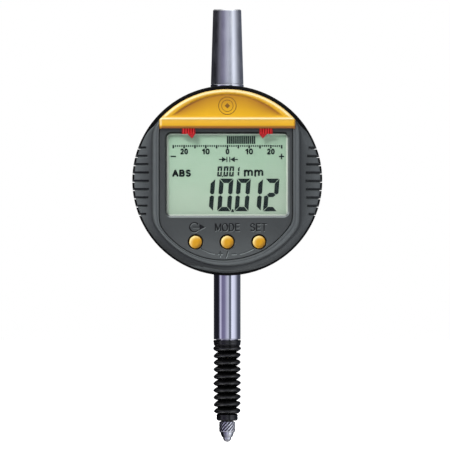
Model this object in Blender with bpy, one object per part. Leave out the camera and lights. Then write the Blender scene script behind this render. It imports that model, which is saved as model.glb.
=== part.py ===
"""Digital dial indicator, 8 mm stem, 12.5 mm travel, with a display head that swivels on the case.

Frame: metres, +Z up along the spindle, display facing -Y. The origin is the lowest point of the
contact ball, with the spindle out at its lower stop. Lengths below are millimetres and are turned
into metres when an object is made. Heights are counted from the case centre, CASE_Z above the
origin, where three empties sit: one for the case, one for the spindle and one for the head.
"""
import math

import bmesh
import bpy
from mathutils import Matrix, Vector

MM = 0.001

# ---- driving dimensions (mm) -------------------------------------------------------------
CASE_Z = 77.9          # case centre above the contact ball's lowest point

CASE_R = 28.0          # rear case outside radius
CASE_FRONT = -6.3      # front face of the rear case
CASE_BACK = 11.2       # rear rim of the case
CASE_WALL = 2.0
FRONT_WALL = 1.4
COVER_R = 27.4         # back cover
COVER_BACK = 13.5      # its outer face

HEAD_R = 28.3          # display head outside radius
HEAD_BACK = -6.6
PANEL_Y = -11.8        # front face of the key and window panel
PANEL_INNER_Y = -10.3
RIDGE_Y = -13.5        # foremost line of the marker cover

STEM_R = 4.0
SPINDLE_R = 2.0
BUSH_R = SPINDLE_R + 0.1        # running bore round the spindle

STOP_PEG_R = 17.5      # swivel stop peg's distance from the head axis

BORE_SIDES = 20        # facets of the spindle, its bores and its bushes
ROUND = 40             # facets of the large turned parts

# ---- places of fixings -------------------------------------------------------------------


def polar(radius, degrees):
    angle = math.radians(degrees)
    return radius * math.cos(angle), radius * math.sin(angle)


# (x, z) of each post
COVER_POSTS = [polar(22.8, degrees) for degrees in (45, 135, 225, 315)]
HEAD_POSTS = [polar(23.5, degrees) for degrees in (0, 90, 180, 270)]
BOARD_POSTS = [(-15.5, 9.0), (15.5, 9.0)]
SPRING_POST = (-9.0, -17.5)
SPRING_PEG = (-9.0, -3.1)       # on the carrier arm

# ---- finishes: base colour, roughness, metallic ------------------------------------------
FINISHES = {
    "case_black": ((0.018, 0.019, 0.020), 0.55, 0.0),
    "housing_grey": ((0.060, 0.066, 0.068), 0.50, 0.0),
    "signal_yellow": ((0.80, 0.42, 0.035), 0.35, 0.0),
    "marker_red": ((0.62, 0.015, 0.03), 0.40, 0.0),
    "polished_steel": ((0.62, 0.63, 0.70), 0.12, 1.0),
    "satin_steel": ((0.42, 0.42, 0.47), 0.32, 1.0),
    "carbide": ((0.40, 0.40, 0.43), 0.15, 1.0),
    "rubber": ((0.012, 0.012, 0.013), 0.60, 0.0),
    "clear_lens": ((0.85, 0.90, 0.86), 0.05, 0.0),
    "lcd": ((0.43, 0.58, 0.45), 0.25, 0.0),
    "board_green": ((0.02, 0.16, 0.07), 0.45, 0.0),
    "chip_black": ((0.02, 0.02, 0.022), 0.35, 0.0),
    "bronze": ((0.45, 0.27, 0.10), 0.35, 1.0),
    "nickel": ((0.60, 0.60, 0.58), 0.25, 1.0),
    "glass": ((0.70, 0.80, 0.80), 0.05, 0.0),
    "zinc": ((0.45, 0.46, 0.48), 0.40, 1.0),
    "flex_amber": ((0.50, 0.22, 0.03), 0.40, 0.0),
    "silicone": ((0.20, 0.21, 0.22), 0.60, 0.0),
}


# ---- scene, materials and empties --------------------------------------------------------
def clear_scene():
    for old in list(bpy.data.objects):
        bpy.data.objects.remove(old, do_unlink=True)
    for pool in (bpy.data.meshes, bpy.data.curves, bpy.data.materials):
        for item in list(pool):
            pool.remove(item)


def make_material(name, colour, roughness, metallic):
    made = bpy.data.materials.new(name)
    made.use_nodes = True
    surface = made.node_tree.nodes["Principled BSDF"]
    surface.inputs["Base Color"].default_value = (*colour, 1.0)
    surface.inputs["Roughness"].default_value = roughness
    surface.inputs["Metallic"].default_value = metallic
    made.diffuse_color = (*colour, 1.0)
    return made


def make_empty(name):
    """An empty at the case centre."""
    frame = bpy.data.objects.new(name, None)
    frame.empty_display_size = 0.01
    bpy.context.scene.collection.objects.link(frame)
    frame.location = Vector((0, 0, CASE_Z)) * MM
    return frame


clear_scene()
MATERIALS = {name: make_material(name, *finish) for name, finish in FINISHES.items()}
CASE = make_empty("case_centre")
SPINDLE = make_empty("spindle_axis")
HEAD = make_empty("head_swivel")


# ---- outlines ----------------------------------------------------------------------------
def arc(radius, first, last, steps, centre=(0, 0)):
    """Points along an arc between two angles in degrees, both ends included."""
    points = []
    for i in range(steps + 1):
        u, v = polar(radius, first + (last - first) * i / steps)
        points.append((centre[0] + u, centre[1] + v))
    return points


def circle(radius, sides, centre=(0, 0), start=0.0):
    angles = [start + 2 * math.pi * i / sides for i in range(sides)]
    return [(centre[0] + radius * math.cos(angle), centre[1] + radius * math.sin(angle))
            for angle in angles]


def rounded(width, height, radius, centre=(0, 0), steps=4):
    """Outline of a rectangle with rounded corners."""
    points = []
    for right, up, first in ((1, 1, 0), (-1, 1, 90), (-1, -1, 180), (1, -1, 270)):
        corner = (centre[0] + right * (width / 2 - radius),
                  centre[1] + up * (height / 2 - radius))
        points += arc(radius, first, first + 90, steps, corner)
    return points


def sector(inner, outer, first, last, steps):
    """Outline of an arc-shaped strip between two angles in degrees."""
    return arc(outer, first, last, steps) + arc(inner, first, last, steps)[::-1]


# ---- solids; a solid made without a finish is a cutter or an addition to another ---------
# axis of turning: its direction, and the direction in which radii start
LATHE_AXES = {
    "X": (Vector((1, 0, 0)), Vector((0, 0, 1))),
    "Y": (Vector((0, 1, 0)), Vector((1, 0, 0))),
    "Z": (Vector((0, 0, 1)), Vector((1, 0, 0))),
}


def put(name, shape, parent, finish=None, at=(0, 0, 0)):
    """Turns a bmesh in millimetres into a named object in metres."""
    bmesh.ops.remove_doubles(shape, verts=shape.verts, dist=1e-4)
    bmesh.ops.recalc_face_normals(shape, faces=shape.faces)
    bmesh.ops.scale(shape, vec=(MM, MM, MM), verts=shape.verts)
    mesh = bpy.data.meshes.new(name)
    shape.to_mesh(mesh)
    shape.free()
    obj = bpy.data.objects.new(name, mesh)
    bpy.context.scene.collection.objects.link(obj)
    obj.parent = parent
    obj.location = Vector(at) * MM
    if finish:
        mesh.materials.append(MATERIALS[finish])
        mesh.shade_smooth()
        mesh.set_sharp_from_angle(angle=math.radians(40))
    return obj


def spin_into(shape, profile, axis, sides, start):
    """Spins a closed profile of (radius, height) points round an axis."""
    along, outward = LATHE_AXES[axis]
    outward = Matrix.Rotation(start, 3, along) @ outward
    verts = [shape.verts.new(outward * radius + along * height) for radius, height in profile]
    edges = []
    for i, vert in enumerate(verts):
        following = (i + 1) % len(verts)
        on_axis = profile[i][0] < 1e-9 and profile[following][0] < 1e-9
        if not on_axis:
            edges.append(shape.edges.new((vert, verts[following])))
    bmesh.ops.spin(shape, geom=verts + edges, cent=(0, 0, 0), axis=along, dvec=(0, 0, 0),
                   angle=2 * math.pi, steps=sides, use_merge=True, use_duplicate=False)
    bmesh.ops.remove_doubles(shape, verts=shape.verts, dist=1e-4)


def lathes(name, profiles, parent, finish=None, axis="Z", sides=ROUND, at=(0, 0, 0), start=0.0):
    """One object of several turned solids on the same axis."""
    shape = bmesh.new()
    for profile in profiles:
        spin_into(shape, profile, axis, sides, start)
    return put(name, shape, parent, finish, at)


def lathe(name, profile, parent, finish=None, **options):
    return lathes(name, [profile], parent, finish, **options)


def extrude_into(shape, outline, low, high, axis):
    """Extrudes a closed outline, given as (x, z) for Y, (x, y) for Z and (y, z) for X."""
    def place(u, v, height):
        return {"Y": (u, height, v), "Z": (u, v, height), "X": (height, u, v)}[axis]

    face = shape.faces.new([shape.verts.new(place(u, v, low)) for u, v in outline])
    grown = bmesh.ops.extrude_face_region(shape, geom=[face])["geom"]
    step = Vector(place(0, 0, high)) - Vector(place(0, 0, low))
    bmesh.ops.translate(shape, vec=step,
                        verts=[part for part in grown if isinstance(part, bmesh.types.BMVert)])


def prisms(name, items, parent, finish=None, axis="Y", at=(0, 0, 0)):
    """One object of several prisms, each (outline, low, high) along the axis."""
    shape = bmesh.new()
    for outline, low, high in items:
        extrude_into(shape, outline, low, high, axis)
    return put(name, shape, parent, finish, at)


def prism(name, outline, low, high, parent, finish=None, **options):
    return prisms(name, [(outline, low, high)], parent, finish, **options)


def block(name, x_span, y_span, z_span, parent, finish=None):
    (x0, x1), (z0, z1) = x_span, z_span
    return prism(name, [(x0, z0), (x1, z0), (x1, z1), (x0, z1)], *y_span, parent, finish)


def cylinders(name, items, parent, axis="Y", sides=16, start=0.0):
    """One mesh of cylinders, each (outline u, outline v, radius, low, high)."""
    return prisms(name, [(circle(radius, sides, (u, v), start), low, high)
                         for u, v, radius, low, high in items], parent, axis=axis)


def at_posts(posts, radius, low, high):
    """Entries for cylinders(), one at each post."""
    return [(x, z, radius, low, high) for x, z in posts]


def screws(prefix, posts, parent, head_r, face_y, seat_y, shank_r, tip_y):
    """Socket-head screws along Y, with heads between face_y and seat_y."""
    socket_r = head_r * 0.45
    socket_y = face_y - 0.6 * (face_y - seat_y)
    profile = [(0, socket_y), (socket_r, socket_y), (socket_r, face_y), (head_r, face_y),
               (head_r, seat_y), (shank_r, seat_y), (shank_r, tip_y), (0, tip_y)]
    for i, (x, z) in enumerate(posts, 1):
        lathe(f"{prefix}_{i}", profile, parent, "zinc", axis="Y", sides=10, at=(x, 0, z))


# ---- booleans ----------------------------------------------------------------------------
def boolean(obj, operation, other):
    """Adds a boolean modifier and hides the other object."""
    other.hide_render = True
    other.display_type = "WIRE"
    modifier = obj.modifiers.new(f"{operation.lower()}_{other.name}", "BOOLEAN")
    modifier.operation = operation
    modifier.solver = "EXACT"
    modifier.object = other


def cut(obj, other):
    boolean(obj, "DIFFERENCE", other)


def join(obj, other):
    boolean(obj, "UNION", other)


# ======================= REAR CASE ========================================================
PORT_Y = 3.2                    # centre of the data port, on the +X side
SLOT_HALF_WIDTH = 0.9           # swivel stop slot
SLOT_HALF_ANGLE = 138.6
BOSS_R = 5.5


def build_rear_case():
    inner_r = CASE_R - CASE_WALL
    inner_front = CASE_FRONT + FRONT_WALL
    rear_case = lathe("rear_case", [
        (14.1, CASE_FRONT), (21.8, CASE_FRONT), (21.8, -5.4), (23.2, -5.4), (23.2, CASE_FRONT),
        (CASE_R - 0.3, CASE_FRONT), (CASE_R, CASE_FRONT + 0.3), (CASE_R, CASE_BACK - 0.4),
        (CASE_R - 0.4, CASE_BACK), (inner_r, CASE_BACK), (inner_r, inner_front),
        (14.1, inner_front)], CASE, "case_black", axis="Y")

    # bosses that hold the stem below and the spindle cap above, then posts for screws
    boss = circle(BOSS_R, BORE_SIDES)
    join(rear_case, prisms("case_bosses", [(boss, -27.0, -19.3), (boss, 18.9, 27.0)], CASE,
                           axis="Z"))
    join(rear_case, cylinders("case_posts", at_posts(COVER_POSTS, 2.4, -5.3, 11.05)
                              + at_posts(BOARD_POSTS, 1.8, -5.3, 5.45), CASE, sides=10))

    bore_r = STEM_R + 0.1
    cap_bore = [(0, 17.6), (3.5, 17.6), (3.5, 24.8), (4.05, 24.8), (4.05, 27.35), (5.2, 27.35),
                (5.2, 30.0), (0, 30.0)]
    stem_bore = [(0, -31.0), (5.6, -31.0), (5.6, -27.3), (bore_r, -27.3), (bore_r, -18.0),
                 (0, -18.0)]
    cut(rear_case, lathes("case_bores", [cap_bore, stem_bore], CASE, sides=BORE_SIDES))
    cut(rear_case, cylinders("case_pilot_holes", at_posts(COVER_POSTS, 1.25, 3.4, 12.0)
                             + at_posts(BOARD_POSTS, 0.75, 0.6, 7.0)
                             + at_posts([SPRING_POST], 0.95, -5.7, -4.0), CASE, sides=8))

    # arc slot that limits the swivel to about 270 degrees, centred below the axis
    slot = sector(STOP_PEG_R - SLOT_HALF_WIDTH, STOP_PEG_R + SLOT_HALF_WIDTH,
                  -90 - SLOT_HALF_ANGLE, -90 + SLOT_HALF_ANGLE, 29)
    cut(rear_case, prism("swivel_stop_slot", slot, -7.2, -5.5, CASE))

    # opening for the data socket, and the shallow recess round it
    cut(rear_case, prism("port_hole", rounded(4.4, 8.4, 1.2, (PORT_Y, 0), 3), 24.0, 30.0, CASE,
                         axis="X"))
    cut(rear_case, prism("port_recess", rounded(6.2, 10.4, 1.6, (PORT_Y, 0), 3), 27.0, 30.0,
                         CASE, axis="X"))


# ======================= BACK COVER, BATTERY ==============================================
DOOR_R = 11.3
BATTERY_R = 10.0


def build_back_cover():
    back_cover = lathe("back_cover", [
        (11.5, 11.6), (COVER_R - 0.2, 11.6), (COVER_R, 11.8), (COVER_R, COVER_BACK - 0.7),
        (COVER_R - 0.7, COVER_BACK), (11.5, COVER_BACK)], CASE, "case_black", axis="Y")
    cut(back_cover, cylinders("cover_screw_holes", at_posts(COVER_POSTS, 1.4, 11.0, 14.5), CASE,
                              sides=10))
    cut(back_cover, cylinders("cover_screw_seats", at_posts(COVER_POSTS, 2.45, 12.35, 14.6),
                              CASE, sides=14))
    cut(back_cover, prisms("bayonet_notches", [
        (sector(10.6, 12.9, middle - 14, middle + 14, 5), 11.0, 14.4) for middle in (-60, 120)],
        CASE))
    lathe("back_cover_seal", [(26.15, 11.3), (27.2, 11.3), (27.2, 11.5), (26.15, 11.5)], CASE,
          "rubber", axis="Y", sides=24)
    screws("cover_screw", COVER_POSTS, CASE, head_r=2.25, face_y=13.3, seat_y=12.45,
           shank_r=1.12, tip_y=4.2)


def build_battery_door():
    battery_door = lathe("battery_door", [
        (0, 11.7), (10.35, 11.7), (10.35, 10.8), (DOOR_R, 10.8), (DOOR_R, COVER_BACK - 0.3),
        (DOOR_R - 0.3, COVER_BACK), (0, COVER_BACK)], CASE, "case_black", axis="Y", sides=24)
    join(battery_door, prisms("door_lugs", [
        (sector(10.8, 12.6, middle - 11, middle + 11, 4), 10.95, 11.4) for middle in (0, 180)],
        CASE))
    cut(battery_door, prism("coin_slot", rounded(14.0, 1.8, 0.85, steps=3), 12.6, 14.5, CASE))


def build_battery():
    lathe("battery_holder", [
        (0, 6.9), (12.1, 6.9), (12.1, 10.6), (10.75, 10.6), (10.75, 7.4), (0, 7.4)], CASE,
        "chip_black", axis="Y", sides=28)
    lathe("battery", [
        (0, 8.2), (8.7, 8.2), (8.9, 8.45), (9.8, 8.75), (BATTERY_R, 9.0), (BATTERY_R, 11.1),
        (9.7, 11.4), (0, 11.4)], CASE, "nickel", axis="Y", sides=28)
    # bent leaf on the holder's floor, then an arc-shaped strip beside the battery
    prism("battery_contact_negative", [
        (7.5, -5.0), (7.75, -5.0), (7.75, 0.0), (8.05, 2.6), (8.05, 3.6), (7.8, 3.6),
        (7.5, 0.0)], -2.2, 2.2, CASE, "nickel", axis="X")
    prism("battery_contact_positive", sector(10.2, 10.5, 160, 200, 6), 7.7, 10.3, CASE,
          "nickel")


# ======================= STEM, BUSHES, SPINDLE CAP ========================================
STEM_END = -47.3                # lower shoulder of the stem
# name, outside radius, low, high
BUSHES = [
    ("stem_bush_lower", 2.6, -49.3, -43.5),
    ("stem_bush_upper", 2.6, -25.6, -19.8),
    ("case_top_bush", 3.4, 19.2, 24.5),
]


def build_stem():
    lathe("stem", [
        (2.7, -49.6), (3.1, -49.6), (3.3, -49.4), (3.3, STEM_END), (STEM_R - 0.15, STEM_END),
        (STEM_R, STEM_END + 0.2), (STEM_R, -19.6), (2.7, -19.6)], CASE, "polished_steel",
        sides=24)


def build_bushes():
    for name, outer_r, low, high in BUSHES:
        lathe(name, [(BUSH_R, low), (outer_r, low), (outer_r, high), (BUSH_R, high)], CASE,
              "bronze", sides=BORE_SIDES)
    lathe("upper_bumper", [(2.4, 17.35), (4.3, 17.35), (4.3, 18.7), (2.4, 18.7)], CASE,
          "rubber", sides=16)


def build_spindle_cap():
    lathe("spindle_cap_ring", [
        (4.0, 27.5), (4.85, 27.5), (4.95, 27.7), (4.95, 28.35), (4.8, 28.5), (4.0, 28.5)], CASE,
        "polished_steel", sides=24)
    lathe("spindle_cap", [
        (2.9, 25.0), (3.9, 25.0), (3.9, 28.6), (4.75, 28.6), (4.86, 28.75), (4.20, 50.75),
        (3.95, 51.05), (0, 51.05), (0, 50.0), (3.2, 50.0), (3.2, 30.0), (2.9, 29.6)], CASE,
        "satin_steel", sides=24)


# ======================= BELLOWS ==========================================================
BELLOWS_TOP = -47.5
FOLD_TOP = -49.7
FOLD_BOTTOM = -69.4
FOLDS = 10
BELLOWS_BOTTOM = -71.5
COLLAR_R = 4.16
CREST_R = 4.14                  # top fold's crest
CREST_TAPER = 0.22              # loss of crest radius down to the last fold
VALLEY_R = 2.95
PASSAGE_R = 2.5
NECK_R = 3.45                   # passage round the neck of the stem


def build_bellows():
    pitch = (FOLD_TOP - FOLD_BOTTOM) / FOLDS
    profile = [(NECK_R, BELLOWS_TOP), (4.02, BELLOWS_TOP), (COLLAR_R, BELLOWS_TOP - 0.15),
               (COLLAR_R, FOLD_TOP + 0.25), (3.3, FOLD_TOP)]
    for i in range(FOLDS):
        crest_z = FOLD_TOP - pitch * (i + 0.5)
        profile.append((CREST_R - CREST_TAPER * i / (FOLDS - 1), crest_z))
        profile.append((VALLEY_R, crest_z - pitch / 2))
    # lower cuff, then up the plain passage that widens round the neck of the stem
    profile += [(3.15, FOLD_BOTTOM - 0.2), (3.15, BELLOWS_BOTTOM + 0.35), (2.9, BELLOWS_BOTTOM),
                (SPINDLE_R + 0.15, BELLOWS_BOTTOM), (SPINDLE_R + 0.15, FOLD_BOTTOM),
                (PASSAGE_R, FOLD_BOTTOM + 0.8), (PASSAGE_R, FOLD_TOP - 0.9),
                (NECK_R, FOLD_TOP - 0.3)]
    lathe("bellows", profile, CASE, "rubber", sides=14)


# ======================= SPINDLE GROUP ====================================================
BALL_R = 1.25
BALL_Z = BALL_R - CASE_Z
CUP_R = 1.4                     # hollow in the contact point, concentric with the ball
GUIDE_PIN_Z = -10.0
CARRIER_SCREW_Z = -13.5


def build_spindle():
    lathe("spindle", [
        (0, -65.4), (1.35, -65.4), (1.35, -71.4), (1.8, -71.4), (SPINDLE_R, -71.2),
        (SPINDLE_R, 34.1), (1.6, 34.5), (0, 34.5)], SPINDLE, "polished_steel",
        sides=BORE_SIDES)
    lathe("stop_collar", [
        (BUSH_R, -19.05), (2.75, -19.05), (2.9, -18.9), (2.9, -17.3), (BUSH_R, -17.3)],
        SPINDLE, "bronze", sides=BORE_SIDES)


def build_contact():
    cup = []
    for degrees in (14.5, 30, 50, 70):
        radius, height = polar(CUP_R, degrees)
        cup.append((radius, BALL_Z + height))
    lathe("contact_point", [
        (0, -66.4), (1.0, -66.4), (1.2, -66.6), (1.2, -71.6), (2.0, -71.6), (2.33, -71.95),
        (2.33, -74.45), (2.1, -74.85), (1.86, -74.95), (1.45, -76.3), *cup,
        (0, BALL_Z + CUP_R)], SPINDLE, "satin_steel", sides=16)
    lathe("contact_ball", [
        (0, BALL_Z - BALL_R), *arc(BALL_R, -70, 70, 7, (0, BALL_Z)), (0, BALL_Z + BALL_R)],
        SPINDLE, "carbide", sides=14)


def build_scale_carrier():
    """Block on the spindle with the glass scale behind it and an arm to the return spring."""
    carrier = block("scale_carrier", (-3.4, 3.4), (-2.9, 3.1), (-16.9, 4.5), SPINDLE, "zinc")
    join(carrier, block("carrier_arm", (-10.2, -3.0), (1.0, 2.6), (-4.5, -1.6), SPINDLE))
    join(carrier, cylinders("carrier_peg", at_posts([SPRING_PEG], 0.7, -1.5, 1.6), SPINDLE,
                            sides=12))
    cut(carrier, cylinders("carrier_bore", [(0, 0, BUSH_R, -18.0, 6.0)], SPINDLE, "Z",
                           BORE_SIDES))
    cut(carrier, cylinders("carrier_side_holes", [
        (0, GUIDE_PIN_Z, 0.9, 1.0, 5.0), (0, CARRIER_SCREW_Z, 0.85, -5.0, -1.0)], SPINDLE, "X",
        12))
    block("glass_scale", (-2.6, 2.6), (3.3, 4.3), (-16.5, 4.3), SPINDLE, "glass")
    prism("guide_pin", circle(0.8, 12, (0, GUIDE_PIN_Z)), 2.6, 8.6, SPINDLE, "polished_steel",
          axis="X")
    lathe("carrier_screw", [
        (0, -2.3), (0.72, -2.3), (0.72, -3.5), (1.4, -3.5), (1.4, -4.4), (0.6, -4.4),
        (0.6, -4.0), (0, -4.0)], SPINDLE, "zinc", axis="X", sides=12,
        at=(0, 0, CARRIER_SCREW_Z))


def build_guide_rail():
    """Upright slotted rail that the guide pin runs in."""
    guide_rail = prism("guide_rail", [
        (-2.4, -15.0), (2.4, -15.0), (2.4, -7.0), (5.4, -7.0), (5.4, -3.0), (2.4, -3.0),
        (2.4, 6.0), (-2.4, 6.0)], 6.2, 8.2, CASE, "nickel", axis="X")
    cut(guide_rail, prism("guide_slot", rounded(1.9, 15.2, 0.9, (0, -3.75), 3), 5.0, 9.5, CASE,
                          axis="X"))


# ======================= RETURN SPRING ====================================================
WIRE_R = 0.2
COIL_R = 1.35
COIL_TURNS = 7
COIL_STEPS = 8                  # points per turn
HOOK_R = 1.15
HOOK_TO_COIL = 2.6              # hook centre to the nearer end of the coil


def spring_path():
    centre_x, lower_z = SPRING_POST
    upper_z = SPRING_PEG[1]
    coil_low = lower_z + HOOK_TO_COIL
    coil_height = upper_z - HOOK_TO_COIL - coil_low
    # lower hook, round the post
    points = [(x, 0.0, z) for x, z in arc(HOOK_R, -150, 60, 6, (centre_x, lower_z))]
    points.append((centre_x + 0.75, 0.25, lower_z + 1.9))
    for i in range(COIL_TURNS * COIL_STEPS + 1):
        angle = 2 * math.pi * i / COIL_STEPS
        points.append((centre_x + COIL_R * math.cos(angle), COIL_R * math.sin(angle),
                       coil_low + coil_height * i / (COIL_TURNS * COIL_STEPS)))
    points.append((centre_x + 0.75, -0.25, upper_z - 1.9))
    # upper hook, round the carrier's peg
    points += [(x, 0.0, z) for x, z in arc(HOOK_R, -60, 150, 6, (centre_x, upper_z))]
    return points


def build_return_spring():
    prism("spring_post", circle(0.8, 12, SPRING_POST), -5.6, 1.6, CASE, "zinc")
    wire = bpy.data.curves.new("return_spring", "CURVE")
    wire.dimensions = "3D"
    wire.bevel_depth = WIRE_R * MM
    wire.bevel_resolution = 0
    wire.use_fill_caps = True
    path = spring_path()
    line = wire.splines.new("POLY")
    line.points.add(len(path) - 1)
    for point, (x, y, z) in zip(line.points, path):
        point.co = (x * MM, y * MM, z * MM, 1.0)
    wire.materials.append(MATERIALS["polished_steel"])
    spring = bpy.data.objects.new("return_spring", wire)
    bpy.context.scene.collection.objects.link(spring)
    spring.parent = CASE


# ======================= SENSOR AND DATA SOCKET ===========================================
PLUG_X = 26.0                   # origin of the port plug


def build_sensor():
    board = block("sensor_board", (-17.5, 17.5), (5.6, 6.4), (-8.0, 11.5), CASE, "board_green")
    cut(board, cylinders("sensor_board_holes", at_posts(BOARD_POSTS, 0.95, 5.0, 7.0), CASE,
                         sides=12))
    block("sensor_chip", (-3.5, 3.5), (4.7, 5.5), (-5.0, 3.0), CASE, "chip_black")
    screws("sensor_screw", BOARD_POSTS, CASE, head_r=1.4, face_y=7.3, seat_y=6.5,
           shank_r=0.65, tip_y=1.0)


def build_data_socket():
    data_socket = block("data_socket", (20.4, 25.2), (0.6, 5.8), (-4.8, 4.8), CASE,
                        "chip_black")
    cut(data_socket, block("socket_mouth", (21.6, 27.0), (1.4, 5.0), (-3.9, 3.9), CASE))


def build_port_plug():
    plug = prism("port_plug", rounded(5.9, 10.1, 1.5, steps=3), 27.15 - PLUG_X, 30.0 - PLUG_X,
                 CASE, "rubber", axis="X", at=(PLUG_X, PORT_Y, 0))
    join(plug, prism("plug_body", rounded(4.1, 8.1, 1.05, (PORT_Y, 0), 3), 25.6, 27.6, CASE,
                     axis="X"))
    # the outer face follows the round case, standing slightly proud of it
    face_r = CASE_R + 0.12
    face_sides = 128
    boolean(plug, "INTERSECT", lathe("plug_face", [
        (0, -4.0), (face_r, -4.0), (face_r, 10.0), (0, 10.0)], CASE, axis="Y",
        sides=face_sides, start=math.pi / face_sides))


# ======================= HEAD SEAL, FLEX CABLE ============================================
FLEX_HALF_THICKNESS = 0.12


def build_head_seal():
    lathe("head_seal", circle(0.48, 6, (22.5, -6.1)), CASE, "rubber", axis="Y", sides=24)


def spiral(offset, steps=30):
    """Flat coil of one and a half turns, widening from its inner end."""
    points = []
    for i in range(steps + 1):
        t = i / steps
        points.append(polar(6.2 + 4.6 * t + offset, -15 - 540 * (1 - t)))
    return points


def build_flex_cable():
    ribbon = spiral(FLEX_HALF_THICKNESS) + spiral(-FLEX_HALF_THICKNESS)[::-1]
    flex = prism("flex_cable", ribbon, -6.1, -4.2, CASE, "flex_amber")
    join(flex, block("flex_tail", (10.32, 10.56), (-5.6, 5.4), (-4.4, -1.4), CASE))


# ======================= DISPLAY HOUSING ==================================================
HEAD_SIDES = 72
RIM_Y = -12.3                   # top of the raised rim
RIM_X = 21.9                    # half width of the rim's straight sides
RIM_R = 25.3                    # radius of the rim's lower arc
RIM_RISE = 2.15                 # extra radius of the upper arc
RIM_W = 1.45
SHOULDER_Y = -8.8               # where the round side ends and the shoulder begins
SHOULDER_DEPTH = 2.75

WINDOW_W = 36.1
WINDOW_H = 24.5
WINDOW_Z = 1.7
BUTTON_PITCH = 9.42
BUTTONS = {"data_button": -BUTTON_PITCH, "mode_button": 0.0, "set_button": BUTTON_PITCH}
BUTTON_Z = -18.3
BUTTON_R = 1.9

GROOVE_PITCH = 2.47
GROOVE_HALF_WIDTH = 0.35


def rim_radius(angle):
    """Distance from the centre to the rim's outer foot: straight sides blended into arcs."""
    sine = math.sin(angle)
    side_r = RIM_X / max(abs(math.cos(angle)), 1e-6)
    arc_r = RIM_R if sine < 0 else RIM_R + RIM_RISE * min(1.0, sine / 0.45)
    return (side_r ** -30 + arc_r ** -30) ** (-1 / 30)


def rim_height(angle):
    """Share of the rim's full height; it dies out where the marker cover begins."""
    t = min(1.0, max(0.0, (math.sin(angle) - 0.56) / 0.10))
    return 1.0 - t * t * (3 - 2 * t)


def housing_section(angle):
    """(radius, y) points from the back edge, over the shoulder and rim, to the panel."""
    rim_r = rim_radius(angle)
    height = rim_height(angle)
    stretch = 1.0 if height > 0.5 else 1.09
    crest_y = PANEL_Y + (RIM_Y - PANEL_Y) * height
    section = [(HEAD_R - 0.25, HEAD_BACK), (HEAD_R, HEAD_BACK - 0.25), (HEAD_R, SHOULDER_Y)]
    for degrees in (25, 60):
        across, forward = polar(1.0, degrees)
        section.append((rim_r + (HEAD_R - rim_r) * across,
                        SHOULDER_Y - SHOULDER_DEPTH * forward * stretch))
    return section + [(rim_r, -11.55 - 0.24 * (1 - height)), (rim_r - 0.2, crest_y),
                      (rim_r - 1.15, crest_y), (rim_r - RIM_W, PANEL_Y)]


def housing_shell():
    """Solid head, skinned over rings that run through the sections."""
    sections = []
    for i in range(HEAD_SIDES):
        angle = 2 * math.pi * i / HEAD_SIDES
        sections.append([(radius * math.cos(angle), y, radius * math.sin(angle))
                         for radius, y in housing_section(angle)])
    shell = bmesh.new()
    loops = []
    for ring in zip(*sections):
        verts = [shell.verts.new(point) for point in ring]
        loops.append([shell.edges.new((vert, verts[(i + 1) % HEAD_SIDES]))
                      for i, vert in enumerate(verts)])
    for back, front in zip(loops, loops[1:]):
        bmesh.ops.bridge_loops(shell, edges=back + front)
    for end in (loops[0], loops[-1]):
        bmesh.ops.edgeloop_fill(shell, edges=end)
    return put("display_housing", shell, HEAD, "housing_grey")


def window_outline(margin, corner):
    """The window's outline, smaller by the margin in width and height."""
    return rounded(WINDOW_W - margin, WINDOW_H - margin, corner, (0, WINDOW_Z))


def finger_grooves():
    """Nine grooves on each side, with floors that follow the shoulder."""
    items = []
    for i in range(-4, 5):
        z = GROOVE_PITCH * i
        inner = 23.2 + 0.055 * i * i
        for side in (-1, 1):
            outline = [(side * x, y) for x, y in (
                (inner, -14.0), (30.0, -14.0), (30.0, -6.0), (27.75, -6.0), (27.75, -8.7),
                (26.9, -10.0), (inner + 1.4, -10.75), (inner, -11.2))]
            items.append((outline, z - GROOVE_HALF_WIDTH, z + GROOVE_HALF_WIDTH))
    return prisms("finger_grooves", items, HEAD, axis="Z")


def build_display_housing():
    housing = housing_shell()
    cut(housing, lathe("housing_cavity", [
        (0, PANEL_INNER_Y), (24.9, PANEL_INNER_Y), (24.9, -7.7), (26.3, -7.7), (26.3, -5.9),
        (0, -5.9)], HEAD, axis="Y"))
    join(housing, cylinders("housing_posts", at_posts(HEAD_POSTS, 1.75, -10.8, -7.78), HEAD,
                            sides=12, start=0.13))
    cut(housing, cylinders("housing_pilot_holes", at_posts(HEAD_POSTS, 0.75, -9.8, -7.0), HEAD,
                           sides=10))
    cut(housing, prism("window_pocket", window_outline(0, 1.4), -13.4, -10.8, HEAD))
    cut(housing, prism("window_opening", window_outline(1.8, 0.8), -13.0, -9.5, HEAD))
    cut(housing, cylinders("button_holes", [
        (x, BUTTON_Z, BUTTON_R + 0.2, -13.2, -9.6) for x in BUTTONS.values()], HEAD, sides=18))
    cut(housing, finger_grooves())


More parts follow.
